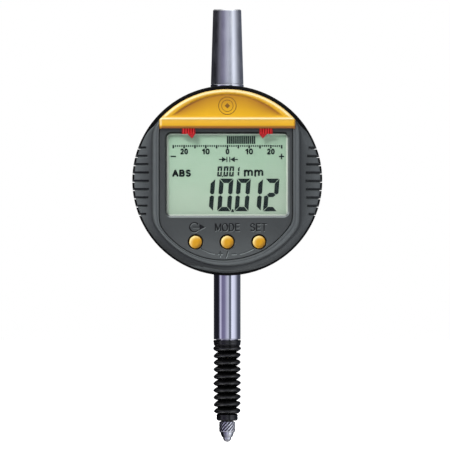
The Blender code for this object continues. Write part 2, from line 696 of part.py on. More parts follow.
# ======================= HEAD BASE AND SWIVEL =============================================
def build_head_base():
    """Plate that closes the head, with a grooved neck that turns in the case."""
    head_base = lathe("head_base", [
        (12.2, -7.6), (26.1, -7.6), (26.1, -6.7), (13.85, -6.7), (13.85, -4.65),
        (12.95, -4.65), (12.95, -3.55), (13.85, -3.55), (13.85, -3.1), (12.2, -3.1)], HEAD,
        "chip_black", axis="Y")
    join(head_base, cylinders("swivel_stop_peg", [(0, -STOP_PEG_R, 0.7, -7.2, -5.8)], HEAD,
                              sides=12))
    cut(head_base, cylinders("base_screw_holes", at_posts(HEAD_POSTS, 0.85, -8.2, -6.0), HEAD,
                             sides=12))
    cut(head_base, cylinders("base_screw_seats", at_posts(HEAD_POSTS, 1.65, -7.25, -5.9), HEAD,
                             sides=10))
    prism("retaining_ring", sector(13.05, 15.6, -80, 260, 28), -4.5, -3.7, HEAD,
          "polished_steel")
    screws("head_screw", HEAD_POSTS, HEAD, head_r=1.45, face_y=-6.78, seat_y=-7.18,
           shank_r=0.62, tip_y=-9.6)


# ======================= DISPLAY, BOARD, KEYS =============================================
def build_display():
    prism("window_lens", window_outline(0.4, 1.2), -11.55, -10.88, HEAD, "clear_lens")
    block("lcd_panel", (-18.8, 18.8), (-10.15, -9.05), (WINDOW_Z - 12.8, WINDOW_Z + 12.8), HEAD,
          "lcd")
    for name, low in (("zebra_strip_upper", 10.6), ("zebra_strip_lower", -11.8)):
        block(name, (-17.0, 17.0), (-8.97, -8.58), (WINDOW_Z + low, WINDOW_Z + low + 1.2), HEAD,
              "silicone")


def build_main_board():
    lathe("main_board", [(0, -8.5), (21.5, -8.5), (21.5, -7.72), (0, -7.72)], HEAD,
          "board_green", axis="Y", sides=24)
    block("controller_chip", (2.2, 7.2), (-9.5, -8.6), (-15.2, -11.9), HEAD, "chip_black")


def build_keys():
    prism("keypad_mat", rounded(24.0, 3.9, 1.0, (0, BUTTON_Z), 3), -9.25, -8.6, HEAD,
          "silicone")
    for name, x in BUTTONS.items():
        lathe(name, [
            (0, -12.65), (0.9, -12.58), (1.55, -12.35), (BUTTON_R, -11.9), (BUTTON_R, -10.2),
            (2.5, -10.2), (2.5, -9.85), (0, -9.85)], HEAD, "signal_yellow", axis="Y", sides=18,
            at=(x, 0, BUTTON_Z))


# ======================= MARKER COVER AND LIMIT MARKERS ===================================
COVER_ARC_R = 27.2
COVER_HALF_WIDTH = 20.2
COVER_BOTTOM = 15.35
RECESS_R = 24.6
RECESS_CENTRE_Z = 1.3
RECESS_HALF_WIDTH = 16.9
RECESS_BOTTOM = 18.9
MARKER_X = 11.5                 # each marker's distance from the centre line
MARKER_TIP = 12.5


def cover_outline():
    """Arc above, with short upright sides down to a straight lower edge."""
    corner = math.degrees(math.acos(COVER_HALF_WIDTH / COVER_ARC_R))
    return arc(COVER_ARC_R, corner, 180 - corner, 22) + [
        (-COVER_HALF_WIDTH, COVER_BOTTOM), (COVER_HALF_WIDTH, COVER_BOTTOM)]


def recess_outline():
    """Arc above and chord below, with eased lower corners."""
    first = math.degrees(math.asin((RECESS_BOTTOM + 0.5 - RECESS_CENTRE_Z) / RECESS_R))
    inner, outer = RECESS_HALF_WIDTH - 0.5, RECESS_HALF_WIDTH - 0.1
    ease_z = RECESS_BOTTOM + 0.35
    return [(inner, RECESS_BOTTOM), (outer, ease_z),
            *arc(RECESS_R, first, 180 - first, 18, (0, RECESS_CENTRE_Z)),
            (-outer, ease_z), (-inner, RECESS_BOTTOM)]


def build_marker_cover():
    cover = prism("marker_cover", cover_outline(), RIDGE_Y, -11.92, HEAD, "signal_yellow")
    cut(cover, prism("cover_recess", recess_outline(), -14.5, -12.85, HEAD))
    cut(cover, block("marker_tunnel", (-19.6, 19.6), (-12.75, -11.0), (14.6, 18.3), HEAD))
    # the lower band slopes back from the ridge, and the arc edge is chamfered
    cut(cover, prism("band_slope", [
        (RIDGE_Y + 0.45, 15.0), (RIDGE_Y - 1.0, 15.0), (RIDGE_Y - 1.0, 18.15),
        (RIDGE_Y, 18.15)], -21.5, 21.5, HEAD, axis="X"))
    cut(cover, lathe("cover_edge", [(26.55, -13.9), (28.6, -13.9), (28.6, -12.3),
                                    (27.35, -12.3)], HEAD, axis="Y"))


def build_limit_markers():
    """Rail behind the cover and two mirrored pointers with grooves that fit over it."""
    block("marker_rail", (-19.4, 19.4), (-12.25, -11.87), (16.6, 17.2), HEAD, "polished_steel")
    for name, side in (("limit_marker_low", 1), ("limit_marker_high", -1)):
        centre_x = -MARKER_X * side
        outline = [(x * side, z) for x, z in (
            (-2.0, 18.1), (-2.0, 13.85), (0.25, 13.7), (1.0, MARKER_TIP), (2.0, 13.8),
            (2.0, 18.1))]
        marker = prism(name, outline, -12.62, -11.95, HEAD, "marker_red", at=(centre_x, 0, 0))
        cut(marker, block(f"{name}_groove", (centre_x - 3.0, centre_x + 3.0), (-12.36, -11.0),
                          (16.3, 17.5), HEAD))


# ======================= BUILD ============================================================
build_rear_case()
build_back_cover()
build_battery_door()
build_battery()
build_stem()
build_bushes()
build_spindle_cap()
build_bellows()
build_spindle()
build_contact()
build_scale_carrier()
build_guide_rail()
build_return_spring()
build_sensor()
build_data_socket()
build_port_plug()
build_head_seal()
build_flex_cable()
build_display_housing()
build_head_base()
build_display()
build_main_board()
build_keys()
build_marker_cover()
build_limit_markers()
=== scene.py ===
# Digital indicator: round case with a display head, two limit markers, three keys, and below it
# a stem, rubber bellows and a contact point that ends in a ball. The display faces -Y, +X is
# the reader's right, and the contact ball stands on z = 0.
import math
from typing import NamedTuple

import bmesh
import bpy
import numpy as np
from mathutils import Matrix, Vector


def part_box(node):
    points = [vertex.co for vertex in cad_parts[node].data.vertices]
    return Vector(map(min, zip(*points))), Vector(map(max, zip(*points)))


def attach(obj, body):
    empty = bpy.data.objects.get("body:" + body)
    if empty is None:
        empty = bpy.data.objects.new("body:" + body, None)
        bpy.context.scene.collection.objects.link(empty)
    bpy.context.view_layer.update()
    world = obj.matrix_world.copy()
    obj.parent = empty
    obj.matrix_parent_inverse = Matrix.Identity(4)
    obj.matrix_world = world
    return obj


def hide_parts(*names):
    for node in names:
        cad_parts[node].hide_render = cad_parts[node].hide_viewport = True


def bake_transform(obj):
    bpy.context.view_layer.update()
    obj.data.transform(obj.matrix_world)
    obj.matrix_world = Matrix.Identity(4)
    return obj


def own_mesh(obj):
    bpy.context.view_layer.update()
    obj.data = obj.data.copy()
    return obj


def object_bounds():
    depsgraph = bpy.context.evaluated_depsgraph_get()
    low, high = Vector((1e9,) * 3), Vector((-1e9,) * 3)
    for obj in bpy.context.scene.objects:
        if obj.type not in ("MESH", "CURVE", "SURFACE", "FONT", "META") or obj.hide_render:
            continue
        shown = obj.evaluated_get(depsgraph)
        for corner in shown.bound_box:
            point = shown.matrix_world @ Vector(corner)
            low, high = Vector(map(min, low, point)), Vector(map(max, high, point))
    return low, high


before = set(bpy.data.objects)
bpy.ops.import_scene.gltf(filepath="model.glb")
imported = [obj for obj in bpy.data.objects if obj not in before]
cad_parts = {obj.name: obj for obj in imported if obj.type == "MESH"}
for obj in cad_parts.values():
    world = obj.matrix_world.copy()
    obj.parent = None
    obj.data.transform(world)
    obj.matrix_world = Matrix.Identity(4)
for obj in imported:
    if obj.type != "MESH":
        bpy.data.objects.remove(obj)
cad_low, cad_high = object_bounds()
scene = bpy.context.scene
PI = math.pi
MM = 0.001

head_low, head_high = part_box("display_housing")
CENTRE_Z = (head_low.z + head_high.z) / 2 / MM      # case centre above the origin
HEAD_RADIUS = (head_high.x - head_low.x) / 2 / MM
HEAD_BACK = head_high.y / MM


def middle(node):
    """Centre of a CAD piece as (x, z) from the case centre."""
    low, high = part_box(node)
    return (low.x + high.x) / 2 / MM, (low.z + high.z) / 2 / MM - CENTRE_Z


WINDOW_WIDTH, WINDOW_HEIGHT, WINDOW_CORNER = 36.0, 24.4, 1.35
WINDOW_Z = middle("window_lens")[1]
KEY_X, KEY_Z = middle("set_button")
KEY_PLACES = (-KEY_X, 0.0, KEY_X)
GRIP_PITCH = 2.47
GRIPS = [(GRIP_PITCH * i, side) for i in range(-4, 5) for side in (-1, 1)]

# =============================================================================
# Materials
# =============================================================================
MATERIALS = {}


def srgb(*rgb):
    def linear(c):
        c /= 255
        return c / 12.92 if c <= 0.04045 else ((c + 0.055) / 1.055) ** 2.4
    return tuple(linear(c) for c in rgb)


def shade(colour, factor, lift=0.0):
    return tuple(min(1, c * factor + lift) for c in colour)


class Graph:
    """Shorthand over a node tree. An input may be a number, a linear colour or a socket."""

    def __init__(self, tree):
        self.tree = tree

    def feed(self, socket, value):
        if isinstance(value, bpy.types.NodeSocket):
            self.tree.links.new(value, socket)
        elif socket.type == "RGBA":
            socket.default_value = (*value, 1.0)
        else:
            socket.default_value = value

    def new(self, kind, inputs=None, **settings):
        node = self.tree.nodes.new(kind)
        for key, value in settings.items():
            setattr(node, key, value)
        for key, value in (inputs or {}).items():
            self.feed(node.inputs[key], value)
        return node

    def math(self, operation, *values, clamp=False):
        return self.new("ShaderNodeMath", dict(enumerate(values)), operation=operation,
                        use_clamp=clamp).outputs[0]

    def remap(self, value, span, to=(0.0, 1.0), smooth=False):
        return self.new("ShaderNodeMapRange", dict(enumerate((value, *span, *to))),
                        interpolation_type="SMOOTHSTEP" if smooth else "LINEAR").outputs[0]

    def mix(self, factor, first, second, blend="MIX"):
        return self.new("ShaderNodeMix", {0: factor, 6: first, 7: second}, data_type="RGBA",
                        blend_type=blend).outputs[2]


class Surface(Graph):
    """A material's node tree, with the patterns that the materials share."""

    def __init__(self, name):
        material = bpy.data.materials.new(name)
        material.use_nodes = True
        MATERIALS[name] = material
        super().__init__(material.node_tree)
        self.shader = self.tree.nodes["Principled BSDF"]
        self.position = self.new("ShaderNodeTexCoord").outputs["Object"]
        self.normal = None

    def set(self, inputs):
        for name, value in inputs.items():
            self.feed(self.shader.inputs[name], value)

    def scaled(self, x, y, z):
        return self.new("ShaderNodeMapping", {"Vector": self.position, "Scale": (x, y, z)}).outputs[0]

    def noise(self, size, detail=2.0, stretch=(1, 1, 1)):
        """Noise of about this size in mm, as a 0-1 value."""
        vector = self.scaled(*(1000.0 / size / s for s in stretch))
        inputs = {"Scale": 1.0, "Detail": detail, "Vector": vector}
        return self.new("ShaderNodeTexNoise", inputs).outputs["Fac"]

    def mottled(self, noise, dark, light):
        return self.mix(self.remap(noise, span=(0.3, 0.7)), dark, light)

    def geometry(self, output):
        return self.new("ShaderNodeNewGeometry").outputs[output]

    def tone(self, output):
        """Tone attribute of painted light and shade: painted shade in hollows, painted highlights on
        ridges.
        """
        return self.new("ShaderNodeAttribute", attribute_name="tone").outputs[output]

    def toned(self, colour):
        return self.mix(1.0, colour, self.tone("Color"), "MULTIPLY")

    def edges(self, span=(0.52, 0.60)):
        """1 on convex edges: worn by handling on the plastics and rubbers, a painted highlight on the
        golden plastic.
        """
        return self.remap(self.geometry("Pointiness"), span=span, smooth=True)

    def lit_slopes(self, colour, dark, light, start, full):
        """Paler on slopes that face up and left, deeper on the opposite ones."""
        facing = self.new("ShaderNodeVectorMath",
                          {0: self.geometry("Normal"), 1: (-0.42, 0.0, 0.91)},
                          operation="DOT_PRODUCT").outputs["Value"]
        pale = self.remap(facing, span=(start, full), to=(1.0, light), smooth=True)
        deep = self.remap(facing, span=(-full, -start), to=(dark, 1.0), smooth=True)
        return self.mix(1.0, colour, self.math("MULTIPLY", pale, deep), "MULTIPLY")

    def height(self):
        """Height above the case centre in mm, and the separated position in metres."""
        axes = self.new("ShaderNodeSeparateXYZ", {0: self.position}).outputs
        return self.math("SUBTRACT", self.math("MULTIPLY", axes[2], 1000.0), CENTRE_Z), axes

    def bump(self, height, strength, depth):
        """Adds a relief of this depth in mm over the earlier ones."""
        inputs = {"Strength": strength, "Distance": depth * MM, "Height": height}
        if self.normal is not None:
            inputs["Normal"] = self.normal
        self.normal = self.new("ShaderNodeBump", inputs).outputs["Normal"]
        self.set({"Normal": self.normal})


def plastic(name, rgb, roughness=0.45, grain=0.35, mottle=0.06, bump=0.25, wear=0.35, worn=None,
            coat=0.0, specular=0.5, toned=False, painted_light_low=False, slopes=None):
    """Moulded plastic: fine grain (mm), faint mottling, edges polished by handling."""
    mat = Surface(name)
    base = srgb(*rgb)
    fine = mat.noise(size=grain)
    colour = mat.mottled(mat.noise(size=9.0, detail=3.0), shade(base, 1 - mottle),
                         shade(base, 1 + mottle, lift=0.002))
    colour = mat.mix(mat.remap(fine, span=(0.35, 0.75), to=(0, 0.22)), colour,
                     shade(base, 1.3, lift=0.003))
    if wear:
        patches = mat.remap(mat.noise(size=1.6, detail=4.0), span=(0.35, 0.7), to=(0.2, 1.0))
        rubbed = mat.math("MULTIPLY", mat.edges(), patches)
        colour = mat.mix(mat.math("MULTIPLY", rubbed, wear), colour,
                         worn or shade(base, 1.6, lift=0.02))
    if slopes:
        colour = mat.lit_slopes(colour, **slopes)
    if painted_light_low:                               # painted light: darker in the upper part, paler towards the lower end
        z, _ = mat.height()
        factor = mat.math("ADD", mat.remap(z, span=(-4.0, -20.0), to=(0.75, 1.0), smooth=True),
                          mat.remap(z, span=(-14.0, -25.0), to=(0.0, 0.55), smooth=True))
        colour = mat.mix(1.0, colour, factor, "MULTIPLY")
    mat.set({"Base Color": mat.toned(colour) if toned else colour,
             "Roughness": mat.remap(mat.noise(size=3.0, detail=4.0), span=(0.25, 0.75),
                                    to=(roughness - 0.07, roughness + 0.09)),
             "Specular IOR Level": specular})
    if coat:
        mat.set({"Coat Weight": coat, "Coat Roughness": 0.12})
    mat.bump(fine, strength=bump, depth=0.02)


def golden(name, rgb, hollow, glint):
    """Golden plastic. The tone runs from shaded hollows (0) over plain (1) to glints (2)."""
    mat = Surface(name)
    base = srgb(*rgb)
    colour = mat.mottled(mat.noise(size=7.0, detail=3.0), shade(base, 0.96), shade(base, 1.04))
    # painted highlight: convex edges turn pale gold
    colour = mat.mix(mat.math("MULTIPLY", mat.edges(span=(0.51, 0.57)), 0.25), colour,
                     srgb(255, 222, 130))
    tone = mat.tone("Fac")
    colour = mat.mix(mat.remap(tone, span=(0.0, 1.0)), srgb(*hollow), colour)
    colour = mat.mix(mat.remap(tone, span=(1.0, 2.0)), colour, srgb(*glint))
    mat.set({"Base Color": colour,
             "Roughness": mat.remap(mat.noise(size=2.5, detail=4.0), span=(0.25, 0.75),
                                    to=(0.30, 0.42)),
             "Specular IOR Level": 0.35})
    mat.bump(mat.noise(size=0.3), strength=0.12, depth=0.015)
    mat.bump(mat.noise(size=2.5), strength=0.08, depth=0.03)


def rubber(name, base=(0.0014, 0.0014, 0.0016), roughness=0.28, crest_highlights=False):
    """Moulded rubber: soft sheen, dusty bloom, small spots; painted highlights where its tone says so.
    """
    mat = Surface(name)
    broad = mat.noise(size=3.5, detail=4.0)
    colour = mat.mix(mat.remap(broad, span=(0.35, 0.75)), base, shade(base, 2.0, lift=0.001))
    patches = mat.remap(mat.noise(size=1.8, detail=3.0), span=(0.4, 0.65), to=(0.1, 0.9), smooth=True)
    colour = mat.mix(mat.math("MULTIPLY", mat.edges(span=(0.515, 0.6)), patches), colour,
                     (0.030, 0.030, 0.029))
    if crest_highlights:
        # painted highlights on the fold crests, broken into patches
        patches = mat.remap(mat.noise(size=0.9, detail=3.0), span=(0.3, 0.6), to=(0.55, 1.0))
        colour = mat.mix(mat.math("MULTIPLY", mat.tone("Fac"), patches), colour,
                         (0.105, 0.108, 0.106))
    # specular is weaker on slopes that face up, which dims their reflection of the bright light above
    upward = mat.new("ShaderNodeSeparateXYZ", {0: mat.geometry("Normal")}).outputs[2]
    mat.set({"Base Color": colour,
             "Roughness": mat.remap(broad, span=(0.3, 0.7), to=(roughness - 0.16, roughness + 0.08)),
             "Specular IOR Level": mat.remap(upward, span=(0.05, 0.45), to=(0.75, 0.10), smooth=True)})
    mat.bump(mat.noise(size=1.4, detail=3.0), strength=0.35, depth=0.06)
    mat.bump(mat.noise(size=0.22, detail=3.0), strength=0.25, depth=0.015)


def metal(name, base, roughness, marks=(1, 1, 1), spread=0.05, scratch=0.12, darker_hollows=0.0, toned=False):
    """Turned or ground metal; marks is the stretch of its tool marks in x, y and z."""
    mat = Surface(name)
    lines = mat.noise(size=0.09, stretch=marks)
    smudge = mat.noise(size=5.0, detail=4.0)
    colour = mat.mottled(smudge, shade(base, 1 - spread), shade(base, 1 + spread))
    if darker_hollows:
        # darker in the hollows
        hollow = mat.remap(mat.geometry("Pointiness"), span=(0.40, 0.49), to=(1.0, 0.0), smooth=True)
        colour = mat.mix(mat.math("MULTIPLY", hollow, darker_hollows), colour, (0.03, 0.03, 0.035))
    broad = mat.remap(smudge, span=(0.3, 0.75), to=(roughness, roughness * 1.35 + 0.02))
    fine = mat.remap(lines, span=(0.3, 0.7), to=(-0.04, 0.04))
    mat.set({"Base Color": mat.toned(colour) if toned else colour, "Metallic": 1.0,
             "Roughness": mat.math("ADD", broad, fine, clamp=True)})
    mat.bump(lines, strength=scratch, depth=0.004)
    mat.bump(mat.noise(size=0.8, detail=3.0), strength=scratch * 0.5, depth=0.004)


def board():
    """Green circuit board with a brick pattern of tracks."""
    mat = Surface("board_green")
    turned = mat.new("ShaderNodeMapping",
                     {"Vector": mat.scaled(700, 700, 700), "Rotation": (PI / 2, 0, 0)})
    brick = mat.new("ShaderNodeTexBrick", {
        "Scale": 1.0, "Color1": (0.010, 0.13, 0.05), "Color2": (0.015, 0.17, 0.07),
        "Mortar": (0.04, 0.30, 0.13), "Mortar Size": 0.04, "Vector": turned.outputs["Vector"]})
    mat.set({"Base Color": brick.outputs["Color"],
             "Roughness": mat.remap(mat.noise(size=4.0), span=(0.3, 0.7), to=(0.25, 0.45))})
    mat.bump(brick.outputs["Fac"], strength=0.4, depth=0.03)


def lcd():
    """Reflective cell: grey-green, greener above, with the sparkle of its reflector."""
    mat = Surface("lcd_green")
    z, axes = mat.height()
    x = mat.math("MULTIPLY", axes[0], 1000.0)
    colour = mat.mix(mat.remap(z, span=(-10.0, 14.0), smooth=True),
                     srgb(181, 198, 182), srgb(167, 196, 174))
    diagonal = mat.math("SUBTRACT", z, mat.math("MULTIPLY", x, 0.5))
    colour = mat.mix(mat.remap(diagonal, span=(-2.0, 12.0), to=(0.0, 0.45), smooth=True), colour,
                     srgb(170, 194, 176))
    sparkle = mat.noise(size=0.16)
    colour = mat.mix(mat.remap(sparkle, span=(0.3, 0.75), to=(0.0, 0.10)), colour,
                     srgb(205, 220, 203))
    # painted highlight along the cell's edges, most of all below
    low = mat.remap(z, span=(WINDOW_Z - 11.66, WINDOW_Z - 11.82), smooth=True)
    side = mat.remap(mat.math("ABSOLUTE", x), span=(17.40, 17.55), to=(0.0, 0.8), smooth=True)
    top = mat.remap(z, span=(WINDOW_Z + 11.70, WINDOW_Z + 11.85), to=(0.0, 0.6), smooth=True)
    line = mat.math("MAXIMUM", mat.math("MAXIMUM", low, side), top)
    mat.set({"Base Color": mat.mix(line, colour, srgb(240, 246, 238)),
             "Roughness": mat.remap(sparkle, span=(0.3, 0.7), to=(0.42, 0.55)),
             "Specular IOR Level": 0.25})
    mat.bump(sparkle, strength=0.08, depth=0.01)


def ink():
    mat = Surface("lcd_ink")
    cloud = mat.noise(size=0.5, detail=3.0)
    mat.set({"Base Color": mat.mottled(cloud, srgb(16, 28, 27), srgb(26, 40, 38)),
             "Roughness": mat.remap(cloud, span=(0.3, 0.7), to=(0.35, 0.5)),
             "Specular IOR Level": 0.2})
    mat.bump(cloud, strength=0.05, depth=0.01)


def clear_window():
    """Light passes, and a faint reflection with fine smears lies over it."""
    mat = Surface("window_clear")
    mat.tree.nodes.remove(mat.shader)
    smear = mat.noise(size=6.0, detail=4.0)
    tint = mat.mottled(smear, (0.965, 0.985, 0.970), (0.985, 0.995, 0.985))
    clear = mat.new("ShaderNodeBsdfTransparent", {0: tint})
    haze = mat.remap(smear, span=(0.35, 0.75), to=(0.03, 0.10))
    shine = mat.new("ShaderNodeBsdfGlossy", {"Roughness": haze})
    fresnel = mat.new("ShaderNodeFresnel", {"IOR": 1.4}).outputs[0]
    amount = mat.math("MULTIPLY", fresnel, mat.remap(smear, span=(0.3, 0.7), to=(0.45, 0.75)))
    front = mat.math("SUBTRACT", 1.0, mat.geometry("Backfacing"))
    both = mat.new("ShaderNodeMixShader", {0: mat.math("MULTIPLY", amount, front),
                                           1: clear.outputs[0], 2: shine.outputs[0]})
    mat.feed(mat.tree.nodes["Material Output"].inputs["Surface"], both.outputs[0])


def scale_glass():
    """Glass with the fine horizontal lines of the measuring scale."""
    mat = Surface("scale_glass")
    lines = mat.new("ShaderNodeTexWave", {"Scale": 1.0, "Vector": mat.scaled(1500, 1500, 1500)},
                    bands_direction="Z").outputs["Fac"]
    mat.set({"Base Color": mat.mix(mat.remap(lines, span=(0.4, 0.6)),
                                   (0.62, 0.72, 0.72), (0.30, 0.32, 0.34)),
             "Roughness": mat.remap(mat.noise(size=4.0), span=(0.3, 0.7), to=(0.04, 0.10))})
    mat.bump(lines, strength=0.1, depth=0.01)


plastic("housing_grey", (80, 85, 87), roughness=0.42, grain=0.28, mottle=0.05, bump=0.3, wear=0.3,
        toned=True, slopes=dict(dark=0.70, light=1.5, start=0.5, full=0.85))
plastic("panel_grey", (65, 69, 70), roughness=0.46, grain=0.22, mottle=0.04, bump=0.3, wear=0.2,
        toned=True, painted_light_low=True, slopes=dict(dark=0.08, light=3.9, start=0.15, full=0.6))
# painted shade: the head's rim and outer wall are near-black, darker than the black case
plastic("rim_black", (6, 6, 7), roughness=0.6, grain=0.3, mottle=0.15, bump=0.15, wear=0.06,
        specular=0.10)
plastic("case_black", (32, 33, 35), roughness=0.40, grain=0.30, mottle=0.12, bump=0.35, wear=0.5)
plastic("cover_black", (38, 39, 41), roughness=0.46, grain=0.34, mottle=0.12, bump=0.5, wear=0.45)
PLAIN_PLASTICS = [      # name, sRGB colour, roughness, grain
    ("base_black", (24, 24, 26), 0.5, 0.3), ("chip_black", (30, 30, 32), 0.45, 0.15),
    ("socket_black", (26, 26, 28), 0.4, 0.2), ("holder_black", (30, 31, 33), 0.5, 0.3),
    ("flex_amber", (190, 120, 40), 0.3, 0.5), ("grey_silicone", (120, 122, 124), 0.6, 0.3)]
for name, rgb, roughness, grain in PLAIN_PLASTICS:
    plastic(name, rgb, roughness=roughness, grain=grain)
plastic("marker_red", (186, 18, 24), roughness=0.36, grain=0.3, mottle=0.08, bump=0.1, wear=0.3,
        worn=srgb(225, 90, 90), coat=0.1, specular=0.3, toned=True)
golden("cover_yellow", (226, 173, 30), hollow=(150, 94, 34), glint=(255, 240, 185))
golden("button_yellow", (208, 150, 18), hollow=(90, 55, 15), glint=(250, 226, 150))
plastic("emblem_print", (120, 82, 18), roughness=0.4, grain=0.2, bump=0.1, wear=0)

rubber("bellows_rubber")
rubber("bellows_folds_rubber", crest_highlights=True)
rubber("seal_rubber", roughness=0.5)
rubber("plug_rubber", base=(0.014, 0.014, 0.015), roughness=0.6)

metal("stem_chrome", (0.72, 0.72, 0.80), roughness=0.07, marks=(6, 6, 0.5), spread=0.03, scratch=0.05)
metal("cap_satin", (0.64, 0.65, 0.67), roughness=0.31, marks=(30, 30, 0.6), spread=0.04,
      scratch=0.22, toned=True)
metal("ring_polished", (0.78, 0.79, 0.84), roughness=0.10, marks=(20, 20, 1), scratch=0.06)
metal("spindle_steel", (0.66, 0.66, 0.70), roughness=0.10, marks=(8, 8, 0.6))
metal("contact_steel", (0.66, 0.66, 0.74), roughness=0.24, marks=(8, 8, 0.6), scratch=0.15, toned=True)
metal("ball_carbide", (0.82, 0.82, 0.85), roughness=0.12, scratch=0.03)
metal("screw_steel", (0.45, 0.45, 0.48), roughness=0.24, darker_hollows=0.6, scratch=0.2)
metal("stamped_steel", (0.58, 0.58, 0.57), roughness=0.25, marks=(1, 1, 12))
metal("light_alloy", (0.62, 0.63, 0.65), roughness=0.30, marks=(1, 1, 14))
metal("sintered_bronze", (0.55, 0.36, 0.16), roughness=0.35)
metal("battery_steel", (0.62, 0.62, 0.58), roughness=0.22, marks=(12, 1, 1))
metal("contact_nickel", (0.68, 0.62, 0.42), roughness=0.22)

board()
lcd()
ink()
clear_window()
scale_glass()

# =============================================================================
# Outlines: lists of two coordinates, (x, z) unless said otherwise
# =============================================================================


def smoothstep(start, end, x):
    t = np.clip((np.asarray(x, float) - start) / (end - start), 0, 1)
    return t * t * (3 - 2 * t)


def fillet(points, n=4):
    """Closed outline of (a, b) or (a, b, radius); corners with a radius are rounded."""
    out = []
    for i, p in enumerate(points):
        if len(p) < 3:
            out.append(p)
            continue
        corner = Vector(p[:2])
        before = Vector(points[i - 1][:2]) - corner
        after = Vector(points[(i + 1) % len(points)][:2]) - corner
        u, v = before.normalized(), after.normalized()
        angle = u.angle(v)
        if angle > PI - 1e-3:
            out.append(p[:2])
            continue
        reach = min(p[2] / math.tan(angle / 2), before.length * 0.49, after.length * 0.49)
        radius = reach * math.tan(angle / 2)
        centre = corner + (u + v).normalized() * (radius / math.sin(angle / 2))
        start, end = corner + u * reach - centre, corner + v * reach - centre
        first = math.atan2(start.y, start.x)
        sweep = (math.atan2(end.y, end.x) - first + PI) % (2 * PI) - PI
        for k in range(n + 1):
            t = first + sweep * k / n
            out.append((centre.x + radius * math.cos(t), centre.y + radius * math.sin(t)))
    return out


def inset(points, distance):
    """A counter-clockwise outline moved inwards."""
    p = np.array(points, float)
    edges = [p - np.roll(p, 1, 0), np.roll(p, -1, 0) - p]
    normals = []
    for edge in edges:
        edge /= np.linalg.norm(edge, axis=1)[:, None] + 1e-12
        normals.append(np.stack([-edge[:, 1], edge[:, 0]], 1))
    spread = 1 + (normals[0] * normals[1]).sum(1)
    return p + (normals[0] + normals[1]) / np.maximum(spread, 0.3)[:, None] * distance


def rect(x0, x1, z0, z1):
    return [(x0, z0), (x1, z0), (x1, z1), (x0, z1)]


def rounded(width, height, radius, x=0.0, z=0.0, n=10):
    return fillet([(x + width / 2, z - height / 2, radius), (x + width / 2, z + height / 2, radius),
                   (x - width / 2, z + height / 2, radius), (x - width / 2, z - height / 2, radius)], n)


def circle(radius, x=0.0, z=0.0, n=64, start=0.0):
    return [(x + radius * math.cos(start + 2 * PI * i / n),
             z + radius * math.sin(start + 2 * PI * i / n)) for i in range(n)]


def polar(radius, degrees):
    return radius * math.cos(math.radians(degrees)), radius * math.sin(math.radians(degrees))


def mirrored(points, side, centre=0.0):
    """Points whose x counts outwards from the centre, on side 1 (right) or -1 (left)."""
    out = [(centre + side * x, z) for x, z in points]
    return out if side > 0 else out[::-1]


# =============================================================================
# Solids: (vertices, faces)
# =============================================================================


def skin(loops):
    """Vertices, side faces and the two end faces of a body through equal 3D loops."""
    count, total = len(loops[0]), len(loops) * len(loops[0])
    sides = [(k + i, k + (i + 1) % count, k + count + (i + 1) % count, k + count + i)
             for k in range(0, total - count, count) for i in range(count)]
    caps = [tuple(range(count)), tuple(range(total - 1, total - 1 - count, -1))]
    return [v for loop in loops for v in loop], sides, caps


def at_depth(outline, y):
    return [(x, y, z) for x, z in outline]


def loft(front, back, y0, y1):
    """Body between two outlines with as many points each, at two depths."""
    verts, sides, caps = skin([at_depth(front, y0), at_depth(back, y1)])
    return verts, caps + sides


def prism(outline, start, end, axis="Y"):
    """Straight prism along an axis; the outline gives the other two coordinates in order."""
    if axis == "Y":
        return loft(outline, outline, start, end)
    lift = {"X": lambda a, b, t: (t, a, b), "Z": lambda a, b, t: (a, b, t)}[axis]
    verts, sides, caps = skin([[lift(a, b, t) for a, b in outline] for t in (start, end)])
    return verts, caps + sides


def plate(outline, front, back, edge, n, back_edge=0.0):
    """A plate facing -Y whose front edge is rounded and whose back edge may be chamfered."""
    loops = [at_depth(outline, back - back_edge)]
    if back_edge:
        loops.insert(0, at_depth(inset(outline, back_edge), back))
    for k in range(n + 1):
        a = PI / 2 * k / n
        loops.append(at_depth(inset(outline, edge * (1 - math.cos(a))),
                              front + edge * (1 - math.sin(a))))
    verts, sides, caps = skin(loops)
    return verts, sides + caps


def lathe(points, axis="Z", n=128, at=(0, 0, 0), shape=None):
    """Closed outline of (radius, height along the axis) turned round it.

    shape(theta, radius, height) may move a point to another (radius, height)."""
    verts, faces, rings = [], [], []
    for r, h in points:
        if r < 1e-9:
            rings.append([len(verts)])
            verts.append((0, 0, h) if axis == "Z" else (0, h, 0))
            continue
        rings.append(list(range(len(verts), len(verts) + n)))
        for i in range(n):
            t = 2 * PI * i / n
            radius, height = shape(t, r, h) if shape else (r, h)
            a, b = radius * math.cos(t), radius * math.sin(t)
            verts.append((a, b, height) if axis == "Z" else (a, height, b))
    for a, b in zip(rings, rings[1:] + rings[:1]):
        if len(a) == 1 and len(b) == 1:
            continue
        for i in range(n):
            j = (i + 1) % n
            if len(a) == 1:
                faces.append((a[0], b[i], b[j]))
            elif len(b) == 1:
                faces.append((a[i], a[j], b[0]))
            else:
                faces.append((a[i], a[j], b[j], b[i]))
    return [(x + at[0], y + at[1], z + at[2]) for x, y, z in verts], faces


def arc_block(inner, outer, start, end, y0, y1, n=10):
    """Part of a flat ring, between two angles in degrees."""
    outline = [polar(outer, start + (end - start) * i / n) for i in range(n + 1)]
    outline += [polar(inner, end - (end - start) * i / n) for i in range(n + 1)]
    return prism(outline, y0, y1)


# ---- lines and lettering -----------------------------------------------------


class Pen(NamedTuple):
    """A line's front and back depth, its width at both, and its sideways shift on the way back."""
    front: float
    back: float
    width: float
    back_width: float
    drift: tuple = (0, 0)


def drifted(points, drift, share):
    return [(x + drift[0] * share, z + drift[1] * share) for x, z in points]


def slanted(front, back, pen):
    """Body between two outlines, shifted by the pen's drift."""
    return loft(drifted(front, pen.drift, -0.45), drifted(back, pen.drift, 0.55),
                pen.front, pen.back)


